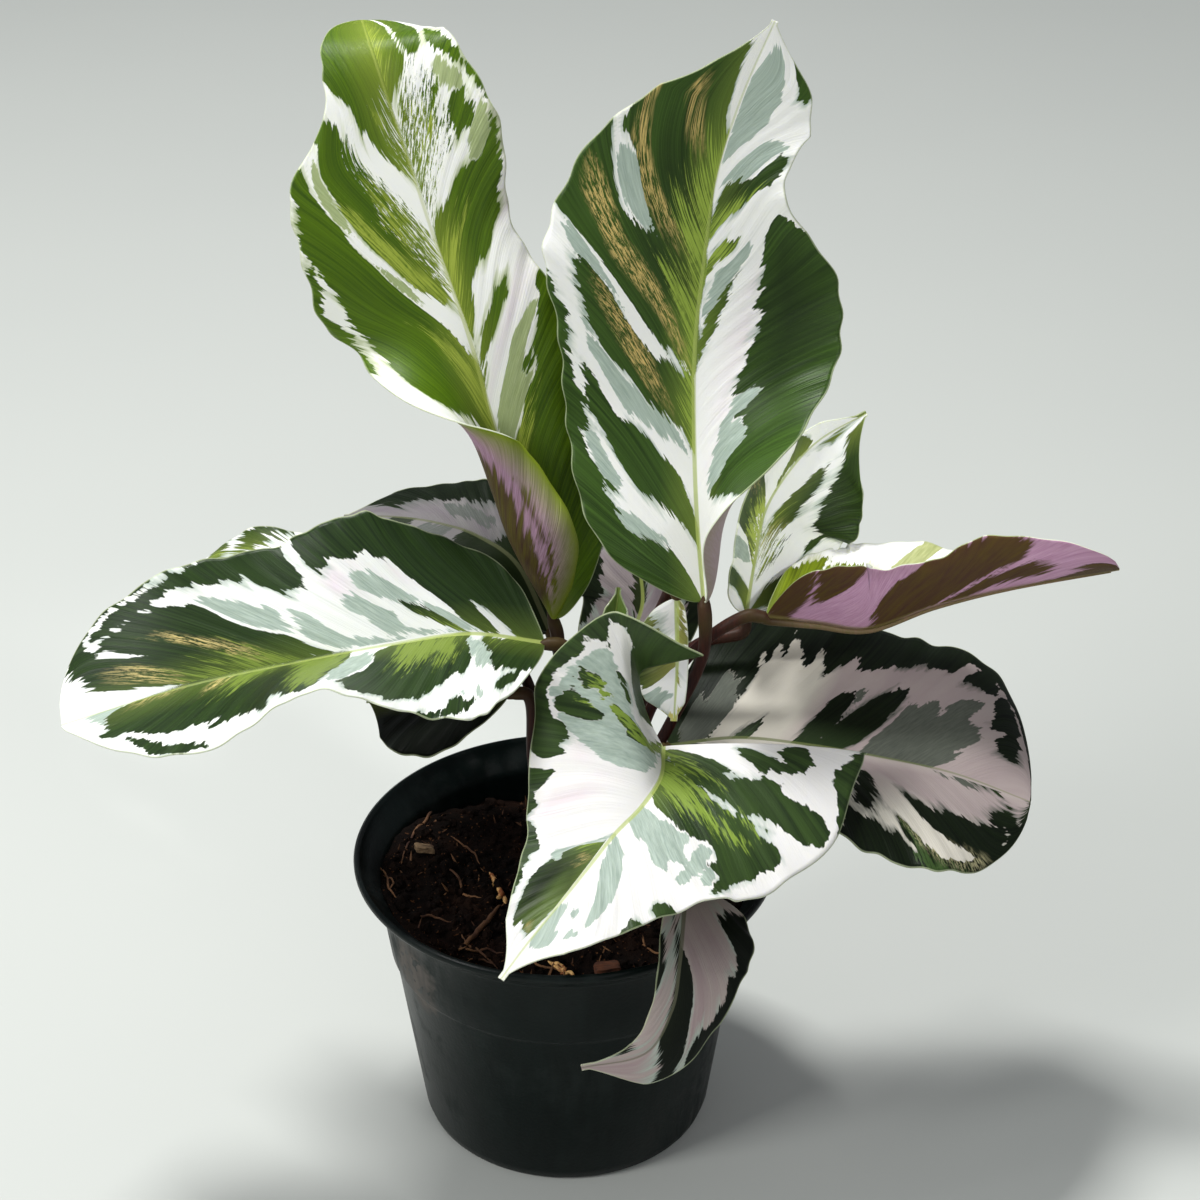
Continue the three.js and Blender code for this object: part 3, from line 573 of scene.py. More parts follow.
# Leaves: where each one goes
# Each leaf is given by its midrib from base to tip, the way its upper face looks, and its two
# halves. A half has, from base to tip, its width and the angles by which it leaves the midrib
# (rise) and meets the margin (curl), towards the upper face. A sweep turns it to the base. A
# wave is a ripple's height, its number and its phase. A fold gives how far up the midrib it
# reaches, where its crease begins and the way that the folded part points.
leaves = [
    {
        "name": "upper_left",
        "midrib": [[-3, 9, 159], [-10, 12, 188], [-18, 15, 214], [-25, 19, 241], [-33, 25, 264],
                   [-41, 32, 288], [-49, 40, 311], [-53, 56, 315]],
        "face": [[0.1, -1, 0.1], [0.1, -1, 0.1], [0.1, -1, 0.1], [0.1, -1, 0.1], [0.1, -1, 0.1],
                 [0.1, -1, 0.1], [0.1, -0.9, 0.5], [0.1, -0.3, 1]],
        "left": {"width": [8, 24, 36, 32, 26, 24, 29, 37, 36, 35, 32, 18, 14, 12.5, 11],
                 "rise": [40, 25, 10, 0, 0, 0, 0, 0],
                 "curl": [225, 240, 215, -10, -10, -10, -10, 0], "wave": [1, 3, 0.2]},
        "right": {"width": [12, 22, 25, 26, 21, 26, 21, 19],
                  "rise": [40, 20, 10, 10, 10, 10, 10, 0],
                  "curl": [20, -10, -20, -20, -20, -10, -10, 0], "wave": [1, 2.5, 0.3]},
        "tip_length": 0.12, "blunt": True,
        "stalk": [[-1, 3], [0, 5, 105], [-1, 8, 135]],
    },
    {
        "name": "upper_right",
        "midrib": [[38, -7, 174], [36, -1, 197], [35, 5, 220], [35, 10, 242], [37, 14, 264],
                   [40, 18, 286], [46, 20, 307], [54, 19, 328]],
        "face": [[-0.05, -1, 0.2]],
        "left": {"width": [12, 29, 34, 36, 42, 35, 19, 8], "rise": [30, 15, 8, 5, 5, 5, 10, 10],
                 "curl": [20, 0, -12, -10, -5, -5, 0, 0], "wave": [1.2, 2.5, 0.1]},
        "right": {"width": [12, 19, 26, 29, 32, 35, 38, 38, 35, 26, 19, 18, 21, 27, 14],
                  "rise": [30, 30, 20, 8, 5, 10, 10, 10],
                  "curl": [130, 135, 50, -5, -10, 20, 5, 0], "wave": [1.2, 2.5, 0.3]},
        "stalk": [[8, -3], [17, -6, 108], [29, -7, 134], [38, -7, 157]],
    },
    {
        "name": "left",
        "midrib": [[-5, -14, 165], [-25, -16, 169], [-46, -20, 168], [-70, -24, 165],
                   [-100, -28, 160], [-134, -30, 149]],
        "face": [[0, -0.37, 0.93]],
        "left": {"width": [12, 38, 38, 38, 31, 5], "rise": [20, 21, 24, 42, 18, 10],
                 "curl": [20, 21, 24, 42, 18, 10], "wave": [2, 2.5, 0.1]},
        "right": {"width": [6, 26, 35, 34.5, 31, 22], "rise": [10, 25, 30, 28, 25, 15],
                  "curl": [25, 25, 25, 25, 20, 10], "wave": [2.8, 2.5, 0.2]},
        "tip_length": 0.1, "blunt": True,
        "stalk": [[-2, -8], [-1, -11, 105], [3, -13, 135], [5, -13.5, 156]],
    },
    {
        "name": "back_left",
        "midrib": [[-4, 22, 147], [-13, 28, 165], [-24, 34, 171], [-35, 38, 173], [-48, 42, 173],
                   [-63, 44, 172]],
        "face": [[0, -0.2, 1]],
        "left": {"width": [8, 22, 28, 28, 20, 6], "rise": [-10], "curl": [-40], "wave": [1, 2, 0.1]},
        "right": {"width": [6, 16, 22, 22, 16, 5], "rise": [0], "curl": [-10],
                  "wave": [1.5, 2, 0.2]},
        "stalk": [[0, 9], [0, 15, 102], [-1, 19, 126]],
    },
    {
        "name": "far_left",
        "midrib": [[-39, 5, 167], [-53, 12, 170], [-68, 18, 171], [-82, 22, 172], [-95, 26, 168],
                   [-107, 28, 161]],
        "face": [[0, -0.2, 1]],
        "left": {"width": [8, 18, 20, 20, 16, 6], "rise": [-10], "curl": [-30], "wave": [1, 2, 0.1]},
        "right": {"width": [6, 8, 10, 10, 8, 4], "rise": [20], "curl": [0], "wave": [1.5, 3, 0.2]},
        "stalk": [[-7, 6], [-8, 8, 105], [-10, 8, 138], [-22, 5, 158]],
    },
    {
        "name": "back_right",
        "midrib": [[51, 22, 153], [53, 28, 165], [56, 34, 179], [63, 40, 189], [72, 46, 196],
                   [85, 50, 202]],
        "face": [[0.3, -0.8, 0.6]],
        "left": {"width": [8, 18, 17, 12, 6, 2], "rise": [30, 45, 45, 45, 40, 20],
                 "curl": [40, 60, 60, 60, 50, 20], "wave": [1, 2, 0.1]},
        "right": {"width": [8, 22, 28, 28, 22, 8], "rise": [20, 10, 5, 0, 0, 0],
                  "curl": [0, -10, -20, -20, -10, 0], "wave": [1, 2, 0.2]},
        "stalk": [[11, 11], [16, 14, 103], [24, 18, 130], [38, 19, 145]],
    },
    {
        "name": "right_back",
        "midrib": [[56, 8, 160], [70, 10, 157], [85, 12, 154], [103, 14, 160], [124, 14, 166],
                   [153, 12, 173]],
        "face": [[0, 0, 1]],
        "left": {"width": [8, 24, 30, 25, 15, 6], "rise": [30, 28, 28, 20, 15, 10],
                 "curl": [20, 20, 20, 10, 0, 0], "wave": [1, 2, 0.1]},
        "right": {"width": [10, 22, 22, 20, 20, 13], "rise": [70, 70, 70, 65, 60, 40],
                  "curl": [90, 90, 90, 85, 90, 80], "wave": [1.5, 2.5, 0.2]},
        "tip_length": 0.08, "blunt": True,
        "stalk": [[15, 6], [18, 7, 103], [25, 8, 132], [40, 7, 154]],
    },
    {
        "name": "right",
        "midrib": [[29, -2, 124], [48, -4, 128], [68, -6, 127], [89, -8, 124], [109, -10, 120],
                   [130, -12, 112]],
        "face": [[0, -0.25, 1]],
        "left": {"width": [16, 42, 46, 50, 48, 36], "rise": [20, 15, 10, 8, 8, 0],
                 "curl": [5, 0, -5, -8, -10, -10], "wave": [1.5, 2.5, 0.1]},
        "right": {"width": [14, 30, 34, 38, 37, 22], "rise": [20, 18, 15, 12, 5, 0],
                  "curl": [5, 5, 5, 0, -5, -10], "wave": [2, 2.5, 0.2]},
        "tip_length": 0.12, "blunt": True,
        "stalk": [[13, 0], [16, -1, 98], [19, -1, 114]],
    },
    {
        "name": "front",
        "midrib": [[27, -25, 139], [26, -37, 137], [21, -48, 135], [14, -59, 134], [7, -70, 131],
                   [0, -81, 128], [-8, -91, 123], [-15, -100, 118]],
        "face": [[0.1, -0.3, 0.95]],
        "left": {"width": [57, 51, 42.5, 34.5, 25, 17, 9, 3], "rise": [10, 8, 8, 5, 5, 5, 5, 5],
                 "curl": [-8, -10, -12, -10, -5, 0, 0, 0], "sweep": [7, 5, 0, 0, 0, 0, 0, 0],
                 "wave": [1.5, 2.5, 0.1]},
        "right": {"width": [46, 50, 43, 28, 19, 14, 8, 3], "rise": [40, 46, 20, 5, 0, 0, 0, 0],
                  "curl": [120, 74, 20, 5, 0, 0, 0, 0], "sweep": [34, 29, 12, 0, 0, 0, 0, 0],
                  "fold": [0.14, 0.45, (0.78, -0.42, 0.46)],
                  "wave": [1, 2.5, 0.2]},
        "open_base": True,
        "from_below": True,
        "stalk": [[9, -10], [16, -15, 103], [24, -22, 124]],
    },
    {
        "name": "drooping",
        "midrib": [[33, -48, 110], [32, -60, 105], [31, -68, 98], [29, -72, 86], [22, -75, 74],
                   [5, -76, 70]],
        "face": [[0.1, -1, 0.3]],
        "left": {"width": [14, 20, 19, 14, 10, 4], "rise": [10], "curl": [-20], "wave": [1, 2, 0.1]},
        "right": {"width": [4, 6, 6, 6, 5, 2], "rise": [20], "curl": [0], "wave": [0.5, 2, 0.2]},
        "stalk": [[4, -13], [12, -22, 97], [23, -32, 110]],
    },
    {
        "name": "back_centre",
        "midrib": [[14, 20, 128], [17, 26, 139], [22, 30, 151], [21, 34, 164], [21, 38, 174],
                   [20, 42, 185]],
        "face": [[0, -1, 0.3]],
        "left": {"width": [6, 14, 18, 18, 14, 5], "rise": [10], "curl": [-20], "wave": [1, 2, 0.1]},
        "right": {"width": [6, 14, 17, 17, 14, 5], "rise": [20], "curl": [0], "wave": [1, 2, 0.2]},
        "stalk": [[5, 12], [6, 16, 95], [10, 17, 110]],
    },
    {
        "name": "young",
        "midrib": [[13, -10, 148], [14, -10, 157], [14, -9, 168], [15, -8, 179]],
        "face": [[0, -1, 0.3]],
        "left": {"width": [3, 5, 5, 2], "rise": [40], "curl": [30], "wave": [0, 1, 0]},
        "right": {"width": [3, 5, 5, 2], "rise": [40], "curl": [30], "wave": [0, 1, 0]},
        "stalk": [[3, -5], [6, -8, 105], [11, -10, 130]],
    },
    {
        "name": "inner",
        "midrib": [[31, 3, 169], [31, -3, 162], [31, -10, 157], [30.5, -16, 151], [30, -20, 144]],
        "face": [[0, -1, 0.5]],
        "left": {"width": [2, 3, 3, 3, 2], "rise": [10], "curl": [-20], "wave": [0, 1, 0]},
        "right": {"width": [4, 11, 12, 10, 4], "rise": [10], "curl": [-20], "wave": [0, 1, 0]},
        "stalk": [[5, 6], [9, 9, 107], [17, 12, 135], [27, 13, 160]],
    },
    {
        "name": "lower_left",
        "midrib": [[-15, 4, 138], [-23, 6, 138], [-31, 8, 136], [-39, 10, 134], [-47, 12, 132],
                   [-56, 14, 129]],
        "face": [[0, -0.1, 1]],
        "left": {"width": [8, 20, 26, 26, 19, 6], "rise": [0], "curl": [-10], "wave": [1, 2, 0.1]},
        "right": {"width": [8, 16, 20, 20, 16, 8], "rise": [10], "curl": [0], "wave": [1, 2, 0.2]},
        "stalk": [[-8, -2], [-8, -1, 100], [-9, 1, 120]],
    },
]

# Stalks
# Every leaf has a petiole: dark red-brown, round, thicker at its foot and again just under the
# blade, where it turns olive. It runs on under the blade as the raised, paler midrib.
petiole_approach = 5
petiole_foot = 78.6
foot_depth = 1.5
blade_gap = 0.9
foot_thickness = 2.3
shaft_thickness = 1.65
joint_thickness = 1.95
midrib_thickness = 1.15
midrib_end = 0.25
foot_swell = 0.16
joint_place = 0.93
joint_swell = 0.1
stalk_points = 72
midrib_points = 80
stalk_sides = 14


def row_of(vectors):
    return vectors / np.linalg.norm(vectors, axis=1)[:, None]


def midrib_frame(leaf, s):
    """Points, directions, upward normals and ways to the right half, at each share s."""
    points = spline(leaf["midrib"], s)
    forward = row_of(spline(leaf["midrib"], np.minimum(s + 0.01, 1))
                     - spline(leaf["midrib"], np.maximum(s - 0.01, 0)))
    normal = spline(leaf["face"], s)
    normal = row_of(normal - np.sum(normal * forward, axis=1)[:, None] * forward)
    return points, forward, normal, np.cross(forward, normal)


def between(at, start, stop, first, second):
    return (stop - at) / (stop - start) * first + (at - start) / (stop - start) * second


def smooth_route(bends, count):
    """Points on a curve through all the bends, which doesn't loop where two of them lie close."""
    gaps = np.linalg.norm(np.diff(bends, axis=0), axis=1) ** 0.5
    knots = np.concatenate([[0], np.cumsum(gaps)])
    ends = np.vstack([2 * bends[0] - bends[1], bends, 2 * bends[-1] - bends[-2]])
    spots = np.concatenate([[-gaps[0]], knots, [knots[-1] + gaps[-1]]])
    route = []
    for at in np.linspace(0, knots[-1], count):
        i = min(max(int(np.searchsorted(knots, at, side="right")) - 1, 0), len(bends) - 2)
        t = spots[i:i + 4]
        p = ends[i:i + 4]
        near = [between(at, t[k], t[k + 1], p[k], p[k + 1]) for k in range(3)]
        wide = [between(at, t[k], t[k + 2], near[k], near[k + 1]) for k in range(2)]
        route.append(between(at, t[1], t[2], *wide))
    return np.array(route)


def stalk_path(leaf):
    """The petiole's route from the crown, then the midrib's under the blade, with its radius."""
    foot = leaf["stalk"][0]
    points, forward, normal, _ = midrib_frame(leaf, np.array([0.0, 0.01]))
    towards = normal[0] if leaf.get("from_below") else forward[0]
    bends = [(*foot, petiole_foot - foot_depth), (*foot, petiole_foot + petiole_approach),
             *leaf["stalk"][1:], points[0] - towards * petiole_approach, points[0] - towards * blade_gap]
    route = smooth_route(np.array(bends, dtype=float), stalk_points)
    share = np.linspace(0, 1, len(route))
    radius = shaft_thickness + (foot_thickness - shaft_thickness) * np.exp(-(share / foot_swell) ** 2)
    from_joint = (share - joint_place) / joint_swell
    radius += (joint_thickness - shaft_thickness) * np.exp(-from_joint ** 2)
    s = np.linspace(0.012, 0.985, midrib_points)
    points, forward, normal, _ = midrib_frame(leaf, s)
    rib = midrib_thickness + (midrib_end - midrib_thickness) * s ** 0.75
    path = np.vstack([route, points - normal * rib[:, None]])
    return np.column_stack([path, np.concatenate([radius, rib])])


def stalk_material():
    material, tree, shader, place = new_material("petiole", 0.5)
    share = add_node(tree, "ShaderNodeAttribute", attribute_name="share").outputs["Fac"]
    streaks = cloudy(tree, scaled(tree, place, (1, 1, 0.08)), 1300, 3)
    blotches = cloudy(tree, place, 130, 3)
    dark = mix_colours(tree, ramp(tree, streaks, 0.3, 0.7), shade(34, 16, 14), shade(66, 32, 26))
    olive = mix_colours(tree, ramp(tree, blotches, 0.35, 0.65), shade(58, 34, 24), shade(72, 60, 30))
    upward = ramp(tree, share, 0.36, 0.47)
    colour = mix_colours(tree, upward, dark, olive)
    rib = mix_colours(tree, ramp(tree, streaks, 0.3, 0.7), shade(104, 94, 58), shade(122, 98, 76))
    colour = mix_colours(tree, ramp(tree, share, 0.475, 0.56), colour, rib)
    dress(tree, shader, colour, streaks, 0.25, 0.0003)
    shader.inputs["Specular IOR Level"].default_value = 0.18
    return material


petiole = stalk_material()
for leaf in leaves:
    path = stalk_path(leaf).tolist()
    stalk = tube_piece("stalk_" + leaf["name"], [path], stalk_sides, petiole)
    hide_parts("petiole_" + leaf["name"])

# Root crown
# A low mound in the middle of the peat, where the stalks rise from old leaf bases, with two brown
# papery sheaths at each foot.
crown_centre = 3
crown_radius = 17
crown_height = 4.6
crown_sides = 64
sheath_turns = (0.4, 2.6)
turn_step = 1.7
sheath_depth = 2.5
sheath_height = 7
height_spread = 5
sheath_start = 1.4
sheath_lean = 2.2
sheath_radius = 1.5
sheath_tip = 0.15
sheath_sides = 8


def crown_material():
    material, tree, shader, place = new_material("crown_husk", 0.85)
    fibres = cloudy(tree, scaled(tree, place, (1, 1, 0.2)), 700, 4, 0.6)
    colour = mix_colours(tree, ramp(tree, fibres, 0.3, 0.7), shade(38, 24, 17), shade(118, 86, 56))
    dress(tree, shader, colour, fibres, 0.7, 0.0008)
    return material


husk = crown_material()
dome = [(crown_radius * math.cos(a), crown_height * math.sin(a)) for a in np.linspace(0.05, 1.5, 12)]
crown_profile = [(radius, height + soil_height)
                 for radius, height in [(0, -1.0), (16.5, -1.0), *dome, (0, crown_height)]]
crown = turned_piece("root_mound", crown_profile, crown_sides, husk)
for vertex in crown.data.vertices:
    spot = vertex.co / mm
    swell = bumpiness(spot.x, spot.y, 1.1, 0.3, 3.3) + bumpiness(spot.x, spot.y, 0.5, 1, 6.1)
    if spot.z > soil_height:
        vertex.co.z += swell * mm
    vertex.co.x += crown_centre * mm
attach(crown, "root")
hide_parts("root_crown")

sheath_paths = []
for number, leaf in enumerate(leaves):
    x, y = leaf["stalk"][0]
    for turn in sheath_turns:
        angle = turn + number * turn_step
        rise = sheath_height + height_spread * noise.noise((number * 1.3, turn, 0))
        path = []
        for k in np.linspace(0, 1, 8):
            out = sheath_start + sheath_lean * k * k
            height = petiole_foot - sheath_depth + rise * k
            thickness = sheath_radius * (1 - k) ** 0.7 + sheath_tip
            path.append((x + math.cos(angle) * out, y + math.sin(angle) * out, height, thickness))
        sheath_paths.append(path)
sheaths = tube_piece("old_sheaths", sheath_paths, sheath_sides, husk)

# Bark chips
# Two splinters of bark that lie on the peat: a pale one at the left, a brown one at the front.
# Each row gives a chip's name, its node, size, place, turn in radians and colour.
bark_chips = [
    ("chip_pale", "bark_chip_pale", (7.4, 2.6, 1.6), (-41, 10), 0.3, shade(168, 140, 104)),
    ("chip_brown", "bark_chip_brown", (9.4, 4.2, 2.3), (12, -40), 0.2, shade(110, 62, 34)),
]
chip_cuts = 7
chip_rounding = 0.25
chip_wobble = 0.45
chip_gap = 0.3
chip_seed = 3


def bark_material(name, tint):
    material, tree, shader, place = new_material(name, 0.9)
    layers = cloudy(tree, scaled(tree, place, (0.3, 1, 1)), 900, 4, 0.6)
    colour = mix_colours(tree, ramp(tree, layers, 0.3, 0.7), shade(52, 30, 20), tint)
    dress(tree, shader, colour, layers, 0.7, 0.0006)
    return material


# Without a fixed seed, noise_vector would give the chips another shape in every run
noise.seed_set(chip_seed)
for name, node, size, centre, turn, tint in bark_chips:
    form = bmesh.new()
    bmesh.ops.create_cube(form, size=1)
    bmesh.ops.subdivide_edges(form, edges=form.edges[:], cuts=chip_cuts, use_grid_fill=True)
    for vertex in form.verts:
        spot = vertex.co.copy()
        spot *= 1 - chip_rounding * (abs(spot.x) * 2) ** 3
        wobble = noise.noise_vector(Vector((spot.x * 3, spot.y * 2, spot.z * 2 + turn)))
        spot = Vector((spot.x * size[0], spot.y * size[1], spot.z * size[2])) + wobble * chip_wobble
        x = centre[0] + spot.x * math.cos(turn) - spot.y * math.sin(turn)
        y = centre[1] + spot.x * math.sin(turn) + spot.y * math.cos(turn)
        z = soil_height + heap_rise(x) + chip_gap + size[2] / 2 + spot.z
        vertex.co = Vector((x, y, z)) * mm
    chip = form_piece(name, form, [bark_material(name + "_bark", tint)])
    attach(chip, "root")
    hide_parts(node)

# Blades: shape
# A blade is a thin two-sided sheet, about 0.4 mm, that follows the same rule as its stand-in in
# the frame, with finer ripples at its margin and a slight pleat along each side vein.
blade_thickness = 0.42
blade_narrowest = 0.9
blade_tip_power = 0.85
shoulder_length = 0.1
usual_tip_length = 0.16
vein_spacing = 5.2
pleat_height = 0.16
frill_height = 0.45
long_frill = 17
short_frill = 7.3
full_frill_width = 15
edge_swell = 0.012
swell_spacing = 11
crease_width = 0.16
crease_end = 0.02


def end_taper(leaf, s):
    from_base = np.ones(len(s)) if leaf.get("open_base") else np.minimum(s / shoulder_length, 1)
    from_tip = np.clip((1 - s) / leaf.get("tip_length", usual_tip_length), 0, 1)
    if leaf.get("blunt"):
        from_tip = np.sqrt(1 - (1 - from_tip) ** 2)
    return np.sqrt(1 - (1 - from_base) ** 2) * from_tip ** blade_tip_power


def arch(d):
    """A side vein leaves the midrib steeply and flattens towards the margin."""
    return 1.5 * d - 0.5 * d * d


def wave(place, length, phase=0.0):
    return np.sin(place * 2 * np.pi / length + phase)


def half_blade(leaf, half, side, s, columns):
    """Points of one half, a row for each s and a column from midrib to margin, and row widths."""
    points, forward, normal, to_right = midrib_frame(leaf, s)
    width = np.maximum(spline(half["width"], s) * end_taper(leaf, s), blade_narrowest)
    rise, curl, sweep = (np.radians(spline(half.get(key, [0]), s)) for key in ("rise", "curl", "sweep"))
    wave_height, waves, wave_phase = half["wave"]
    fade = np.sqrt(np.clip(np.sin(np.pi * s), 0, 1))
    ripple = wave_height * fade * np.sin(2 * np.pi * (waves * s + wave_phase))
    outward = to_right * (side * np.cos(sweep))[:, None] - forward * np.sin(sweep)[:, None]
    middles = (np.arange(columns) + 0.5) / columns
    angles = rise[:, None] + (curl - rise)[:, None] * middles
    step = (width / columns)[:, None]
    blank = np.zeros((len(s), 1))
    across = np.hstack([blank, np.cumsum(np.cos(angles) * step, axis=1)])
    up = np.hstack([blank, np.cumsum(np.sin(angles) * step, axis=1)])
    d = np.linspace(0, 1, columns + 1)[None, :]
    length = leaf["length"]
    vein = (s[:, None] - half["lean"] * arch(d)) * length
    frill = wave(vein, long_frill, 9 * wave_phase) + 0.6 * wave(vein, short_frill)
    edge_fade = (fade * np.minimum(width / full_frill_width, 1))[:, None]
    up = up + ripple[:, None] * d ** 2 + frill_height * frill * d ** 5 * edge_fade
    up = up + pleat_height * wave(vein, vein_spacing) * np.sin(np.pi * d) * edge_fade
    across = across * (1 + edge_swell * wave(vein, swell_spacing, 5) * d ** 3)
    grid = points[:, None] + outward[:, None] * across[:, :, None] + normal[:, None] * up[:, :, None]
    if "fold" in half:
        reach, crease, way = half["fold"]
        steps = np.diff(grid, axis=1)
        past = (middles[None, :] - crease - (1 - crease) * (s / reach)[:, None]) / crease_width
        turned = (np.clip(past, 0, 1) * np.clip((reach - s) / crease_end, 0, 1)[:, None])[:, :, None]
        folded = np.linalg.norm(steps, axis=2)[:, :, None] * np.array(way)
        steps = steps * (1 - turned) + folded * turned
        grid = np.concatenate([grid[:, :1], grid[:, :1] + np.cumsum(steps, axis=1)], axis=1)
    return grid, width, vein, d * np.ones_like(vein)


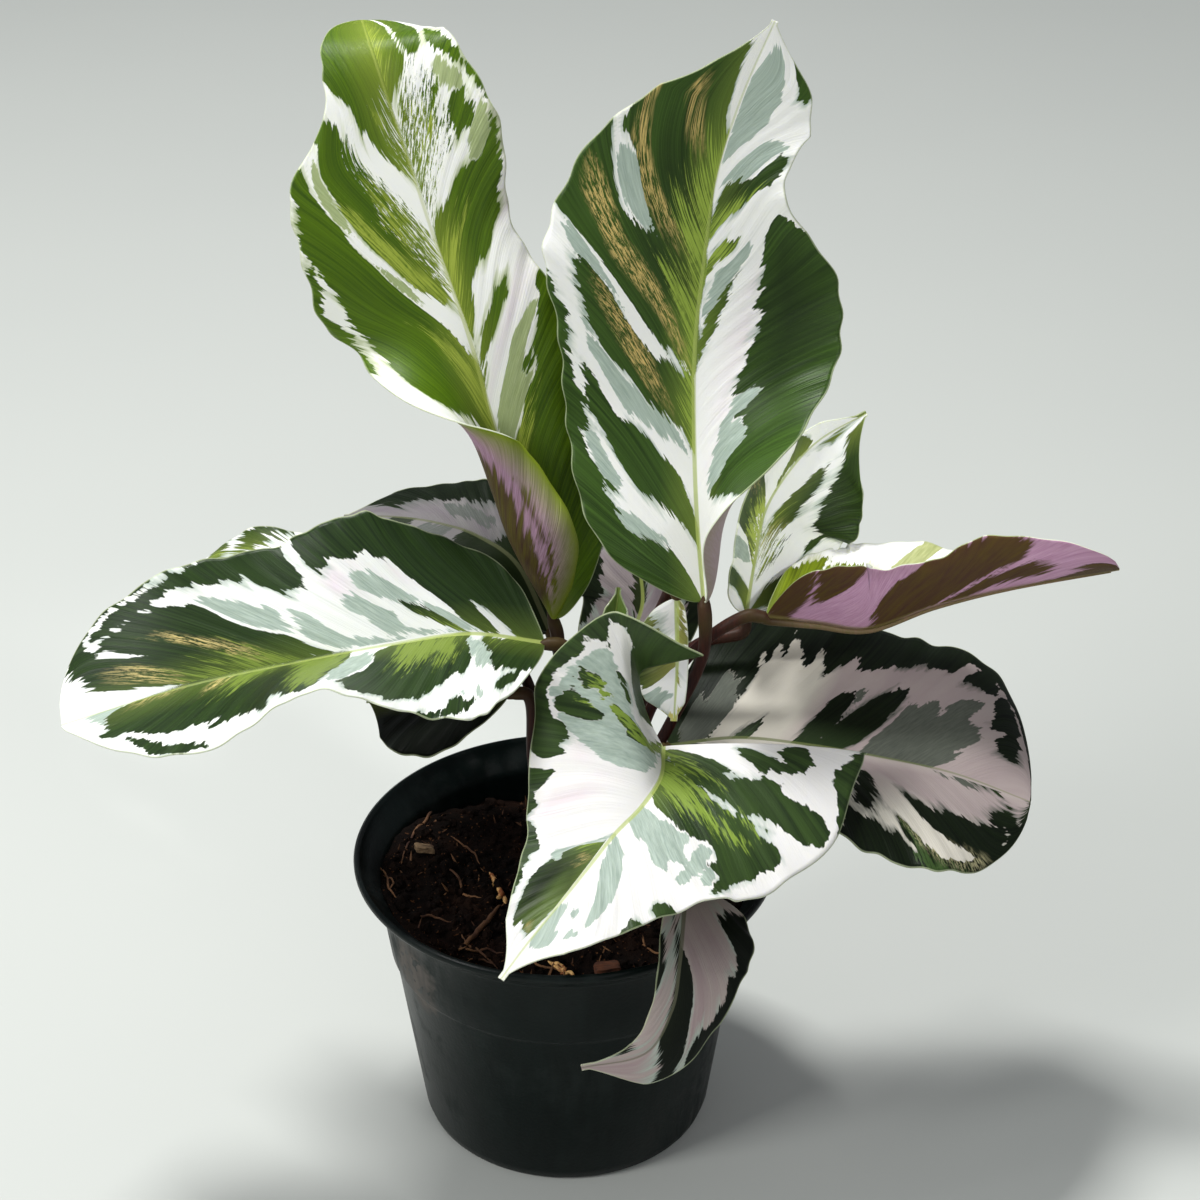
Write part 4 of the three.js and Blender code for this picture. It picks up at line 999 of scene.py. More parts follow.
# Blades: markings
# White and green marbling follows the side veins. Each patch is a ring of corners (d, s): d runs
# from the midrib, 0, to the margin, 100, and s up the midrib from base, 0, to tip, 1000. Patches
# are laid in order on a white ground. 'lean' is how far a side vein climbs on its way to the
# margin in each half, and 'band' is the width in millimetres of a green band round the margin.
vein_stretch = 3.0
markings = {
    "upper_left": {
        "lean": (0.33, 0.2),
        "left": [
            ("green", (-4, 1050), (110, 1050), (110, 850), (96, 840), (87, 820), (44, 765), (27, 738),
             (13, 702), (8, 682), (-4, 670)),
            ("green", (110, 788), (67, 763), (52, 748), (33, 700), (4, 600), (3, 500), (7, 475),
             (27, 530), (49, 605), (60, 655), (67, 695), (76, 725), (87, 750), (100, 760), (110, 762)),
            ("grey", (91, 742), (78, 728), (67, 690), (60, 650), (56, 615), (67, 645), (74, 685),
             (84, 725)),
            ("grey", (47, 575), (36, 550), (24, 510), (27, 500), (38, 530), (47, 565)),
            ("green", (110, 738), (100, 738), (87, 718), (76, 682), (58, 600), (44, 555), (7, 408),
             (-4, 380), (-4, 240), (3, 275), (56, 343), (69, 368), (78, 398), (82, 438), (81, 488),
             (79, 520), (82, 560), (100, 632), (96, 650), (94, 690), (100, 710), (110, 710)),
            ("green", (110, 595), (98, 590), (93, 600), (92, 570), (94, 530), (87, 490), (88, 465),
             (96, 455), (93, 420), (110, 400)),
            ("green", (-4, 240), (15, 288), (44, 300), (62, 250), (63, 150), (61, -50), (-4, -50)),
            ("green", (72, 240), (75, 240), (72, 40), (69, 40)),
            ("fleck", (48, 830), (16, 805), (2, 810), (2, 690), (11, 710), (24, 755), (40, 795)),
            ("fleck", (52, 738), (33, 710), (16, 665), (2, 610), (2, 530), (7, 520), (18, 560),
             (33, 600), (47, 650), (44, 690), (56, 730)),
            ("lime", (60, 670), (44, 630), (27, 570), (9, 520), (11, 490), (29, 540), (47, 600),
             (58, 650)),
            ("lime", (24, 440), (9, 390), (2, 350), (2, 280), (7, 300), (27, 410)),
            ("lime", (-4, 660), (1, 660), (6, 480), (6, 280), (-4, 240)),
        ],
        "right": [
            ("green", (-4, 1050), (42, 1050), (29, 920), (35, 832), (24, 812), (4, 785), (-2, 760),
             (-4, 770)),
            ("green", (56, 1050), (38, 940), (35, 890), (38, 842), (47, 834), (60, 850), (69, 930),
             (78, 965), (110, 1020), (110, 1050)),
            ("green", (68, 870), (76, 905), (93, 850), (97, 810), (110, 750), (110, 710), (99, 750),
             (93, 795), (76, 830), (69, 840)),
            ("green", (53, 750), (64, 765), (78, 770), (80, 740), (71, 715), (56, 710), (51, 725)),
            ("green", (40, 780), (51, 795), (56, 785), (47, 760), (24, 720)),
            ("grey", (59, 815), (71, 820), (84, 800), (84, 765), (71, 770), (59, 790)),
            ("grey", (64, 700), (93, 760), (94, 735), (87, 700), (78, 675), (66, 675)),
            ("green", (-4, 550), (4, 600), (24, 625), (56, 672), (73, 675), (87, 702), (94, 730),
             (95, 670), (89, 620), (90, 592), (78, 575), (64, 548), (51, 532), (33, 518), (22, 497),
             (11, 448), (4, 425), (0, 375), (-4, 360)),
            ("green", (0, 360), (7, 410), (16, 435), (33, 460), (44, 485), (59, 490), (56, 470),
             (24, 420), (11, 390), (0, 340)),
            ("grey", (1, 280), (7, 310), (42, 410), (73, 450), (78, 440), (60, 410), (42, 360),
             (56, 350), (11, 255), (3, 250)),
            ("green", (42, 365), (56, 390), (58, 375), (51, 360), (44, 358)),
            ("green", (-4, 210), (7, 240), (29, 290), (42, 328), (56, 353), (64, 400), (93, 480),
             (110, 490), (110, -50), (-4, -50)),
            ("green", (1, 700), (7, 765), (16, 790), (24, 795), (20, 740), (4, 620)),
            ("green", (33, 770), (44, 800), (47, 785), (36, 730), (24, 700), (24, 730)),
            ("fleck", (0, 740), (11, 785), (33, 815), (56, 800), (53, 740), (42, 690), (11, 620),
             (0, 580)),
            ("lime", (-2, 550), (24, 580), (42, 595), (20, 545), (9, 515), (4, 480), (-1, 400)),
            ("lime", (-4, 180), (11, 245), (24, 285), (42, 310), (33, 260), (20, 230), (4, 160)),
            ("lime", (-4, 970), (7, 960), (7, 880), (2, 800), (-4, 810)),
            ("pink", (7, 340), (24, 400), (47, 450), (78, 500), (78, 460), (56, 440), (33, 400)),
            ("pink", (91, 750), (100, 720), (100, 580), (91, 600)),
        ],
    },
    # Painted light and shade on this leaf: its gold patches are golden reflections of the sun, and its
    # dark patches are shade
    "upper_right": {
        "lean": (0.33, 0.2),
        "left": [
            ("green", (110, 952), (78, 952), (60, 945), (16, 870), (11, 845), (9, 818), (2, 800),
             (-7, 785), (-7, 350), (4, 390), (11, 408), (22, 423), (33, 448), (67, 568), (96, 633),
             (110, 655)),
            ("white", (110, 820), (87, 760), (56, 710), (32, 610), (47, 622), (58, 650), (82, 725),
             (110, 785)),
            ("grey", (78, 738), (64, 725), (56, 710), (32, 610), (44, 625), (56, 650), (76, 715)),
            ("grey", (96, 632), (76, 588), (64, 550), (56, 510), (48, 480), (53, 485), (76, 550),
             (87, 590)),
            ("green", (83, 570), (73, 552), (62, 522), (51, 472), (33, 410), (11, 390), (-7, 355),
             (-7, 210), (4, 255), (10, 295), (23, 308), (33, 328), (44, 360), (64, 410), (73, 440),
             (77, 480), (79, 525)),
            ("grey", (80, 530), (78, 480), (73, 435), (62, 400), (47, 360), (33, 328), (16, 298),
             (6, 255), (11, 250), (24, 278), (38, 298), (49, 310), (58, 340), (76, 410), (81, 460)),
            ("green", (81, 395), (71, 360), (60, 310), (44, 290), (33, 260), (22, 238), (13, 210),
             (6, 170), (1, 130), (-7, 100), (-7, 70), (9, 110), (18, 142), (33, 162), (52, 195),
             (58, 227), (71, 280), (78, 320), (83, 355), (85, 382)),
            ("green", (110, 545), (98, 530), (93, 490), (91, 440), (93, 410), (89, 360), (83, 320),
             (81, 292), (88, 280), (84, 245), (76, 208), (67, 200), (77, 190), (69, 168), (71, 138),
             (58, 118), (44, 110), (31, 95), (26, 65), (23, 35), (16, 0), (16, -50), (110, -50)),
            ("grey", (87, 288), (79, 285), (71, 245), (62, 215), (54, 200), (67, 198), (78, 215)),
            ("grey", (72, 165), (60, 155), (33, 108), (47, 110), (58, 118), (69, 132)),
            ("lime", (-4, 805), (11, 775), (12, 710), (4, 690), (18, 710), (14, 670), (7, 640),
             (22, 670), (17, 620), (4, 560), (11, 530), (23, 540), (11, 480), (4, 420), (11, 400),
             (4, 360), (6, 280), (-4, 200)),
            ("gold", (84, 880), (69, 875), (40, 830), (27, 800), (16, 765), (27, 755), (56, 825),
             (73, 850)),
            ("gold", (104, 855), (87, 810), (56, 740), (29, 660), (13, 605), (18, 600), (33, 630),
             (47, 670), (60, 715), (76, 750), (104, 820)),
            ("gold", (92, 715), (78, 690), (60, 640), (47, 590), (33, 550), (20, 500), (9, 440),
             (4, 400), (13, 420), (27, 480), (40, 520), (56, 560), (71, 620), (87, 660)),
            ("gold", (67, 530), (56, 490), (42, 450), (22, 360), (18, 330), (29, 340), (42, 380),
             (56, 430), (64, 480)),
            ("dark", (49, 760), (2, 665), (2, 620), (20, 655), (38, 700)),
            ("dark", (38, 610), (22, 590), (1, 530), (2, 500), (33, 570)),
        ],
        "right": [
            ("grey", (1, 740), (2, 870), (7, 920), (20, 945), (42, 960), (71, 970), (60, 940), (53, 910),
             (53, 880), (46, 855), (42, 830), (33, 795), (20, 775), (11, 750)),
            ("green", (76, 895), (80, 928), (100, 955), (110, 960), (110, 900), (96, 905), (89, 890)),
            ("grey", (9, 710), (38, 775), (47, 792), (60, 810), (78, 815), (87, 805), (78, 793),
             (64, 768), (56, 748), (42, 725)),
            ("green", (-2, 615), (7, 680), (16, 710), (33, 725), (44, 725), (56, 735), (82, 798),
             (91, 795), (94, 775), (91, 755), (78, 730), (64, 715), (42, 685), (31, 665), (16, 648),
             (7, 628), (-2, 590)),
            ("green", (-2, 540), (7, 598), (18, 615), (30, 622), (24, 600), (11, 580), (4, 550),
             (-2, 490)),
            ("grey", (3, 500), (11, 560), (33, 610), (42, 620), (33, 590), (24, 570), (18, 510),
             (9, 440), (2, 400)),
            ("green", (-2, 400), (3, 450), (18, 540), (27, 565), (6, 420), (-2, 375)),
            ("green", (31, 348), (33, 390), (38, 420), (42, 500), (43, 560), (47, 598), (56, 630),
             (69, 660), (80, 675), (93, 670), (110, 630), (110, 200), (100, 208), (78, 198), (56, 194),
             (24, 178), (14, 170), (24, 210), (42, 258), (49, 292), (42, 310), (33, 320), (42, 338)),
            ("grey", (33, 345), (42, 360), (47, 375), (51, 360), (44, 325), (33, 310), (47, 300),
             (51, 288), (27, 210), (16, 185), (13, 210)),
            ("lime", (-2, 580), (7, 650), (20, 670), (69, 722), (33, 665), (16, 645), (4, 615),
             (-2, 560)),
            ("lime", (-2, 530), (7, 598), (30, 622), (4, 550), (-2, 480)),
            ("pink", (16, 240), (24, 400), (33, 520), (42, 580), (39, 440), (30, 350), (38, 300),
             (24, 220)),
            ("dark", (44, 550), (69, 620), (84, 520), (64, 360), (44, 380)),
            ("dark", (11, 682), (33, 710), (67, 738), (89, 778), (87, 760), (56, 720), (33, 695)),
        ],
    },
    "left": {
        "lean": (0.15, 0.28),
        "left": [
            ("green", (-4, 880), (0, 890), (4, 910), (11, 922), (33, 928), (56, 925), (73, 940),
             (82, 938), (69, 910), (60, 900), (59, 885), (63, 860), (63, 820), (60, 740), (64, 742),
             (67, 765), (73, 765), (71, 730), (75, 690), (81, 690), (84, 665), (68, 655), (84, 625),
             (92, 600), (78, 570), (56, 552), (20, 505), (-4, 485)),
            ("grey", (42, 928), (27, 955), (7, 960), (-10, 940), (-7, 870), (-2, 890), (7, 915),
             (24, 928)),
            ("green", (98, 850), (87, 875), (76, 892), (66, 896), (80, 840), (88, 768), (96, 760),
             (100, 800)),
            ("grey", (71, 550), (44, 540), (9, 495), (8, 458), (16, 448), (27, 458), (47, 498),
             (64, 522)),
            ("green", (89, 488), (82, 520), (71, 530), (58, 512), (38, 472), (20, 445), (11, 448),
             (7, 438), (-4, 360), (-4, 190), (11, 208), (27, 198), (40, 220), (46, 235), (49, 270),
             (69, 350), (78, 373), (81, 410), (86, 440), (83, 460)),
            ("grey", (47, 198), (27, 198), (6, 210), (11, 160), (22, 150), (33, 145), (44, 150)),
            ("grey", (78, 280), (71, 267), (65, 255), (71, 252)),
            ("grey", (80, 220), (67, 210), (68, 188), (78, 198)),
            ("green", (110, 410), (100, 380), (93, 350), (87, 315), (78, 300), (76, 270), (80, 240),
             (75, 224), (82, 224), (88, 245), (98, 320), (110, 360)),
            ("green", (87, 130), (78, 155), (71, 150), (64, 110), (67, 83), (76, 73), (82, 80)),
            ("green", (54, 103), (51, 150), (27, 150), (4, 170), (0, 150), (4, 110), (-4, 70), (-4, -50),
             (110, -50), (110, 40), (87, 50)),
            ("lime", (80, 615), (44, 622), (22, 615), (-7, 600), (-7, 490), (11, 500), (56, 554),
             (78, 575)),
            ("lime", (26, 742), (11, 735), (-7, 720), (-7, 620), (2, 635), (11, 680), (21, 710)),
            ("lime", (36, 390), (22, 400), (7, 385), (-7, 360), (-7, 220), (11, 240), (27, 248),
             (34, 300), (27, 310)),
            ("lime", (-7, 200), (1, 170), (6, 110), (0, 50), (-7, 50)),
            ("gold", (18, 772), (4, 762), (-2, 728), (7, 732)),
            ("gold", (9, 890), (0, 880), (-2, 800), (4, 810)),
            ("dark", (87, 680), (33, 670), (11, 650), (2, 630), (56, 625), (87, 630)),
        ],
        "right": [
            ("green", (-2, 770), (13, 890), (24, 938), (56, 958), (110, 976), (110, 942), (78, 936),
             (70, 930), (75, 920), (76, 870), (75, 820), (65, 760), (42, 700), (33, 665), (24, 615),
             (11, 570), (3, 530), (-1, 485)),
            ("white", (42, 875), (53, 908), (66, 930), (64, 914), (42, 863)),
            ("grey", (24, 608), (33, 655), (42, 690), (66, 754), (70, 740), (47, 630), (33, 610)),
            ("green", (77, 910), (82, 932), (89, 938), (92, 880), (94, 800), (98, 760), (110, 720),
             (110, 592), (93, 590), (64, 553), (57, 560), (63, 585), (56, 600), (73, 660), (83, 680),
             (75, 685), (80, 710), (79, 740), (81, 800)),
            ("green", (98, 970), (110, 976), (110, 700), (99, 728)),
            ("green", (64, 525), (76, 550), (89, 568), (110, 575), (110, -50), (-4, -50), (-4, 80),
             (2, 73), (18, 103), (30, 148), (34, 185), (11, 132), (1, 120), (4, 160), (16, 220),
             (33, 255), (66, 365), (71, 410), (70, 460), (73, 495)),
            ("grey", (1, 360), (4, 510), (16, 568), (33, 592), (41, 592), (36, 565), (13, 500), (7, 440),
             (4, 360)),
            ("grey", (2, 220), (6, 350), (9, 400), (24, 442), (32, 480), (45, 492), (43, 460), (34, 428),
             (24, 378), (11, 355)),
            ("grey", (3, 165), (9, 230), (20, 280), (32, 310), (33, 360), (38, 410), (47, 450),
             (56, 465), (58, 430), (53, 398), (43, 358), (24, 258)),
            ("green", (0, 185), (7, 250), (18, 300), (27, 350), (34, 362), (33, 335), (27, 298)),
            ("lime", (-4, 770), (7, 792), (16, 797), (9, 760), (6, 730), (16, 715), (21, 700), (16, 658),
             (0, 590)),
            ("lime", (-4, 170), (4, 260), (16, 290), (11, 240), (2, 180)),
            ("lime", (-4, 130), (4, 100), (7, 40), (-4, 40)),
            ("gold", (7, 820), (23, 902), (42, 918), (34, 868), (18, 815)),
            ("gold", (9, 680), (42, 812), (54, 852), (52, 818), (34, 748), (20, 675)),
            ("pink", (42, 500), (70, 530), (69, 400), (42, 280), (56, 400)),
        ],
    },
    # On this leaf, lying in the shade of the others, the pink ground marks the shaded part, the white
    # the sunlit part, and the grey near the base is white in shade: painted shade and painted light,
    # over the leaf's own pinkish tinge
    "right": {
        "lean": (0.3, 0.3),
        "band": 4.2,
        "left": [
            ("grey", (63, 838), (56, 842), (49, 820), (44, 813), (38, 850), (33, 852), (16, 790),
             (11, 800), (4, 760), (-4, 700), (-4, 520), (11, 558), (24, 608), (45, 654), (41, 680),
             (49, 710), (47, 732), (35, 735), (47, 758), (56, 788)),
            ("grey", (49, 542), (38, 522), (22, 462), (11, 432), (-4, 410), (-4, 380), (11, 410),
             (33, 470), (44, 510)),
            ("green", (110, 1050), (-10, 1050), (-10, 992), (110, 964)),
            ("green", (87, 918), (82, 948), (60, 956), (36, 952), (32, 940), (30, 883), (37, 890),
             (50, 913), (46, 863), (60, 875), (78, 878), (85, 893)),
            ("green", (96, 860), (87, 882), (78, 876), (73, 840), (70, 787), (78, 795), (87, 820),
             (94, 840)),
            ("green", (110, 830), (84, 787), (76, 760), (75, 698), (79, 706), (76, 665), (62, 538),
             (63, 510), (73, 508), (52, 417), (64, 423), (76, 410), (63, 388), (58, 368), (73, 360),
             (88, 332), (66, 310), (79, 295), (60, 270), (68, 255), (47, 240), (27, 195), (2, 120),
             (-4, 95), (-4, -50), (110, -50)),
            ("grey", (44, 205), (27, 192), (11, 147), (2, 115), (-1, 30), (33, 35), (50, 100), (38, 120),
             (58, 170)),
            ("green", (55, 623), (50, 647), (36, 620), (11, 540), (-4, 470), (-4, 400), (4, 428),
             (16, 458), (38, 538), (47, 578), (50, 610)),
            ("green", (46, 517), (-4, 400), (-4, 335), (11, 382), (33, 438), (40, 468)),
            ("green", (15, 272), (7, 262), (-4, 210), (-4, 165), (4, 197), (12, 238)),
            ("pink", (110, 1050), (-10, 1050), (-10, 340), (11, 360), (56, 440), (110, 440)),
            ("lime", (-7, 360), (1, 340), (2, 240), (0, 150), (-7, 120)),
        ],
        "right": [
            ("green", (-2, 1050), (110, 1050), (110, 982), (56, 978), (-2, 992)),
            ("green", (0, 805), (-3, 870), (0, 907), (4, 924), (9, 915), (4, 894), (2, 860), (3, 813)),
            ("green", (21, 948), (42, 958), (110, 972), (110, 952), (60, 950), (52, 944), (48, 908),
             (33, 901), (34, 927)),
            ("green", (53, 938), (60, 950), (78, 952), (98, 912), (85, 888), (62, 748), (53, 708),
             (42, 678), (34, 648), (36, 690), (44, 730), (40, 790), (47, 850), (48, 900)),
            ("green", (97, 860), (110, 890), (110, 725), (100, 728), (84, 708), (73, 668), (55, 628),
             (84, 758), (94, 810)),
            ("green", (73, 648), (87, 700), (110, 738), (110, 480), (63, 500), (71, 550), (68, 590),
             (78, 632)),
            ("green", (17, 525), (24, 562), (40, 587), (61, 570), (59, 528), (42, 522)),
            ("green", (1, 435), (9, 492), (16, 512), (22, 458), (11, 435)),
            ("green", (24, 440), (56, 480), (110, 500), (110, -50), (-4, -50), (-4, 40), (11, 120),
             (16, 220), (33, 310)),
            ("grey", (4, 740), (3, 810), (7, 850), (9, 830), (7, 770)),
            ("pink", (-10, 1050), (60, 1050), (51, 800), (42, 700), (33, 640), (44, 580), (-4, 440)),
            ("gold", (82, 900), (96, 920), (102, 870), (96, 800), (76, 700), (56, 638), (42, 655),
             (69, 760)),
            ("lime", (100, 870), (110, 880), (110, 750), (56, 632), (84, 750)),
        ],
    },
    "front": {
        "lean": (0.25, 0.22),
        "left": [
            ("grey", (-4, 850), (0, 850), (11, 865), (29, 875), (50, 850), (47, 828), (38, 788),
             (27, 795), (19, 760), (11, 708), (2, 715), (-4, 800)),
            ("grey", (63, 730), (56, 732), (42, 690), (27, 632), (11, 560), (2, 485), (-1, 425),
             (18, 480), (29, 530), (40, 590), (51, 640)),
            ("grey", (69, 788), (56, 802), (48, 768), (58, 762), (67, 772)),
            ("grey", (36, 742), (24, 737), (22, 713), (31, 713)),
            ("grey", (56, 460), (42, 470), (24, 410), (11, 398), (2, 368), (-2, 335), (-2, 275),
             (11, 298), (38, 310), (45, 360), (54, 388), (56, 405), (44, 408), (49, 440)),
            ("grey", (83, 450), (75, 420), (68, 380), (62, 354), (67, 348), (75, 375), (82, 415)),
            ("grey", (75, 480), (66, 472), (46, 310), (56, 310), (63, 360), (71, 430)),
            ("green", (94, 452), (87, 430), (81, 400), (75, 360), (63, 352), (62, 320), (52, 295),
             (38, 310), (16, 285), (7, 262), (-4, 200), (-4, 0), (2, 40), (7, 100), (18, 148), (36, 188),
             (51, 198), (71, 200), (60, 210), (82, 224), (89, 243), (88, 300), (85, 320), (86, 360)),
            ("green", (96, 188), (91, 195), (62, 184), (51, 188), (33, 172), (18, 150), (7, 102),
             (0, 25), (4, 32), (22, 98), (33, 118), (51, 124), (62, 118), (67, 125), (58, 132),
             (89, 149), (95, 164)),
            ("green", (38, 113), (24, 123), (16, 107), (7, 62), (1, 15), (4, 10), (33, 93)),
            ("green", (74, 95), (52, 107), (40, 62), (34, 28), (42, 33), (60, 75), (57, 50), (62, 18),
             (67, 8), (78, 80)),
            ("green", (110, 200), (99, 170), (93, 130), (88, 105), (96, 40), (97, -50), (110, -50)),
            ("green", (110, 715), (100, 710), (80, 644), (110, 642)),
            ("green", (110, 605), (87, 595), (80, 570), (84, 553), (110, 558)),
            ("lime", (-7, 10), (11, 138), (24, 200), (44, 225), (67, 240), (62, 258), (20, 240),
             (7, 200), (-7, 140)),
            ("lime", (-7, 0), (2, 65), (16, 138), (33, 185), (71, 205), (51, 200), (27, 185), (7, 130),
             (-7, 40)),
            ("lime", (0, 10), (11, 75), (33, 150), (11, 100), (0, 40)),
        ],
        "right": [
            ("grey", (4, 65), (7, 140), (11, 200), (24, 255), (42, 282), (71, 302), (78, 294), (89, 270),
             (90, 200), (80, 165), (56, 155), (42, 162), (24, 140), (11, 80), (3, 25)),
            ("white", (87, 265), (92, 255), (92, 200), (87, 170), (81, 168), (86, 200), (88, 240)),
            ("green", (-2, 425), (-1, 670), (3, 760), (11, 818), (18, 843), (27, 850), (42, 840),
             (53, 815), (62, 838), (71, 850), (77, 832), (78, 800), (76, 740), (68, 670), (62, 630),
             (53, 600), (44, 588), (43, 568), (33, 540), (4, 468), (1, 438)),
            ("grey", (1, 425), (2, 452), (11, 485), (34, 538), (42, 566), (42, 595), (58, 597),
             (53, 572), (24, 512), (11, 472)),
            ("green", (110, 790), (100, 785), (93, 750), (90, 710), (92, 670), (89, 630), (79, 600),
             (78, 570), (84, 558), (89, 533), (110, 530)),
            ("green", (110, 520), (100, 520), (91, 500), (89, 478), (92, 455), (78, 410), (73, 388),
             (110, 420)),
            ("green", (110, 390), (89, 390), (81, 378), (69, 345), (74, 338), (64, 312), (73, 298),
             (84, 300), (89, 284), (93, 255), (91, 225), (94, 200), (88, 178), (80, 165), (94, 148),
             (89, 100), (76, 60), (56, 70), (33, 100), (24, 40), (11, -10), (24, -50), (110, -50)),
            ("green", (52, 238), (60, 262), (66, 270), (84, 282), (87, 268), (78, 245), (56, 230)),
            ("green", (-2, -10), (4, 60), (11, 110), (20, 155), (29, 188), (38, 202), (56, 198),
             (60, 210), (69, 225), (81, 236), (83, 220), (73, 204), (47, 184), (29, 148), (20, 116),
             (12, 65), (6, 15), (0, -20)),
            ("green", (42, 158), (60, 166), (68, 155), (56, 138), (46, 148)),
            ("lime", (-4, -10), (2, 50), (13, 130), (29, 188), (69, 228), (82, 232), (73, 204),
             (47, 184), (24, 130), (11, 60), (0, -20)),
            ("lime", (-2, 440), (7, 500), (20, 520), (7, 480), (0, 440)),
            ("gold", (18, 830), (24, 843), (36, 830), (38, 810), (24, 810)),
            ("gold", (7, 550), (13, 580), (22, 570), (18, 540), (9, 525)),
            ("pink", (24, 300), (42, 400), (89, 530), (76, 400), (56, 310), (33, 288)),
            ("dark", (4, 670), (24, 620), (42, 750), (76, 810), (71, 700), (42, 600), (16, 560)),
        ],
    },
    "back_right": {
        "lean": (0.1, 0.8),
        "left": [
            ("green", (110, 544), (90, 519), (48, 500), (23, 469), (7, 431), (-4, 381), (-4, 169),
             (23, 262), (47, 312), (110, 362)),
            ("grey", (110, 325), (70, 312), (33, 281), (15, 219), (33, 212), (110, 250)),
            ("green", (110, 212), (77, 188), (22, 131), (-4, 88), (-4, -50), (27, 50), (55, 100),
             (110, 131)),
            ("green", (100, 719), (67, 750), (17, 762), (2, 719), (2, 662), (12, 638), (-4, 481),
             (8, 519), (23, 600), (42, 656)),
            ("green", (110, 1050), (33, 1050), (7, 962), (100, 938), (110, 906)),
            ("lime", (-7, 500), (2, 438), (28, 438), (47, 400), (35, 362), (47, 331), (23, 281),
             (2, 200), (-7, 181)),
            ("gold", (110, 500), (93, 494), (62, 469), (73, 456), (110, 456)),
            ("fleck", (-2, 381), (35, 419), (60, 381), (23, 300), (-2, 219)),
        ],
        "right": [
            ("green", (28, 750), (32, 731), (35, 650), (30, 400), (20, 306), (3, 300), (8, 344),
             (12, 450), (17, 519), (23, 688)),
            ("green", (0, 925), (7, 919), (17, 850), (13, 800), (8, 819), (3, 869)),
            ("green", (7, 188), (20, 250), (32, 288), (32, 269), (20, 219), (13, 175)),
            ("green", (28, 888), (42, 875), (48, 800), (48, 581), (53, 438), (62, 381), (67, 419),
             (68, 356), (57, 312), (57, 262), (60, 256), (68, 294), (72, 362), (110, 362), (110, 956),
             (32, 912)),
            ("green", (25, 138), (57, 200), (110, 238), (110, -50), (16, -50), (20, 69)),
            ("gold", (3, 262), (7, 312), (17, 350), (22, 319), (17, 281), (7, 238)),
            ("lime", (-4, 500), (3, 519), (7, 481), (2, 362), (7, 262), (17, 238), (23, 262), (7, 169),
             (-4, 138)),
            ("fleck", (0, 281), (18, 312), (33, 288), (17, 212), (0, 169)),
            ("dark", (52, 800), (60, 762), (60, 400), (53, 438)),
        ],
    },
    "right_back": {
        "lean": (0.25, 0.25),
        "left": [
            ("green", (-4, -50), (-4, 100), (20, 119), (71, 138), (110, -50)),
            ("green", (-4, 362), (25, 438), (55, 531), (96, 562), (110, 756), (63, 669), (-4, 481)),
            ("green", (-4, 800), (33, 850), (78, 900), (110, 1050), (-4, 1050)),
            ("green", (84, 438), (55, 394), (27, 294), (7, 238), (18, 231), (73, 312)),
            ("lime", (-7, 462), (17, 500), (35, 519), (25, 438), (-7, 338)),
            ("white", (110, 1050), (56, 1050), (58, 520), (60, 440), (76, 400), (79, 240), (87, 200),
             (110, 180)),
            ("grey", (110, 665), (93, 650), (78, 630), (64, 590), (58, 550), (60, 515), (87, 598),
             (96, 618), (110, 628)),
            ("green", (77, 400), (71, 460), (63, 490), (49, 350), (29, 220), (42, 210), (60, 210),
             (73, 240), (79, 300)),
            ("green", (88, 285), (76, 240), (29, 140), (-4, 110), (-4, -50), (110, -50), (110, 110),
             (92, 130), (89, 200)),
            ("grey", (110, 940), (87, 920), (67, 880), (56, 800), (73, 820), (91, 850), (110, 860)),
        ],
        "right": [
            ("green", (-4, 381), (33, 419), (52, 469), (88, 581), (110, 631), (101, 850), (80, 850),
             (63, 844), (43, 769), (12, 625), (-4, 531)),
            ("green", (-4, 519), (8, 631), (23, 712), (58, 862), (42, 881), (25, 869), (20, 800),
             (-4, 638)),
            ("green", (-4, 1050), (110, 1050), (49, 938), (23, 931), (13, 900), (-4, 800)),
            ("green", (37, 181), (42, 200), (88, 281), (110, 300), (110, 138), (78, 138), (52, 150)),
            ("green", (-4, -50), (-4, 100), (17, 100), (110, 119), (110, -50)),
        ],
    },
    # This leaf hangs low in the shade of the others: its pink ground and dark wedges paint that shade
    "drooping": {
        "lean": (0.5, 0.4),
        "left": [
            ("green", (110, 805), (49, 785), (11, 750), (-4, 700), (-4, 295), (4, 320), (16, 400),
             (31, 550), (40, 610), (56, 690), (78, 750), (110, 785)),
            ("green", (110, 750), (89, 750), (76, 720), (70, 680), (76, 630), (84, 590), (80, 560),
             (87, 540), (78, 480), (77, 440), (87, 450), (73, 280), (47, 140), (73, 90), (110, 80)),
            ("pink", (110, 1000), (-10, 1000), (-10, 0), (56, 100), (100, 900)),
            ("dark", (110, 850), (-4, 750), (-4, 280), (56, 680), (110, 70)),
        ],
        "right": [
            ("green", (-4, 710), (24, 300), (56, 160), (42, 175), (-4, 300)),
            ("green", (78, 460), (91, 520), (110, 530), (110, 230), (89, 260), (60, 380)),
            ("green", (60, 860), (76, 880), (110, 890), (110, 820), (78, 835)),
            ("pink", (-4, 1000), (100, 1000), (100, 0), (-4, 0)),
            ("dark", (-4, 750), (24, 440), (60, 140), (-4, 280)),
        ],
    },
    # Painted shade: the left half is nearly all deep green where shade falls on it
    "back_left": {
        "lean": (0.3, 0.3),
        "left": [
            ("green", (-4, 800), (33, 880), (110, 900), (110, 480), (78, 520), (56, 580), (42, 700),
             (33, 740), (11, 740), (-4, 700)),
            ("green", (-4, 480), (22, 520), (56, 440), (110, 360), (110, -50), (-4, -50)),
            ("grey", (2, 670), (22, 700), (38, 660), (33, 600), (0, 520)),
            ("pink", (-4, 900), (33, 800), (56, 500), (-4, 440)),
        ],
        "right": [
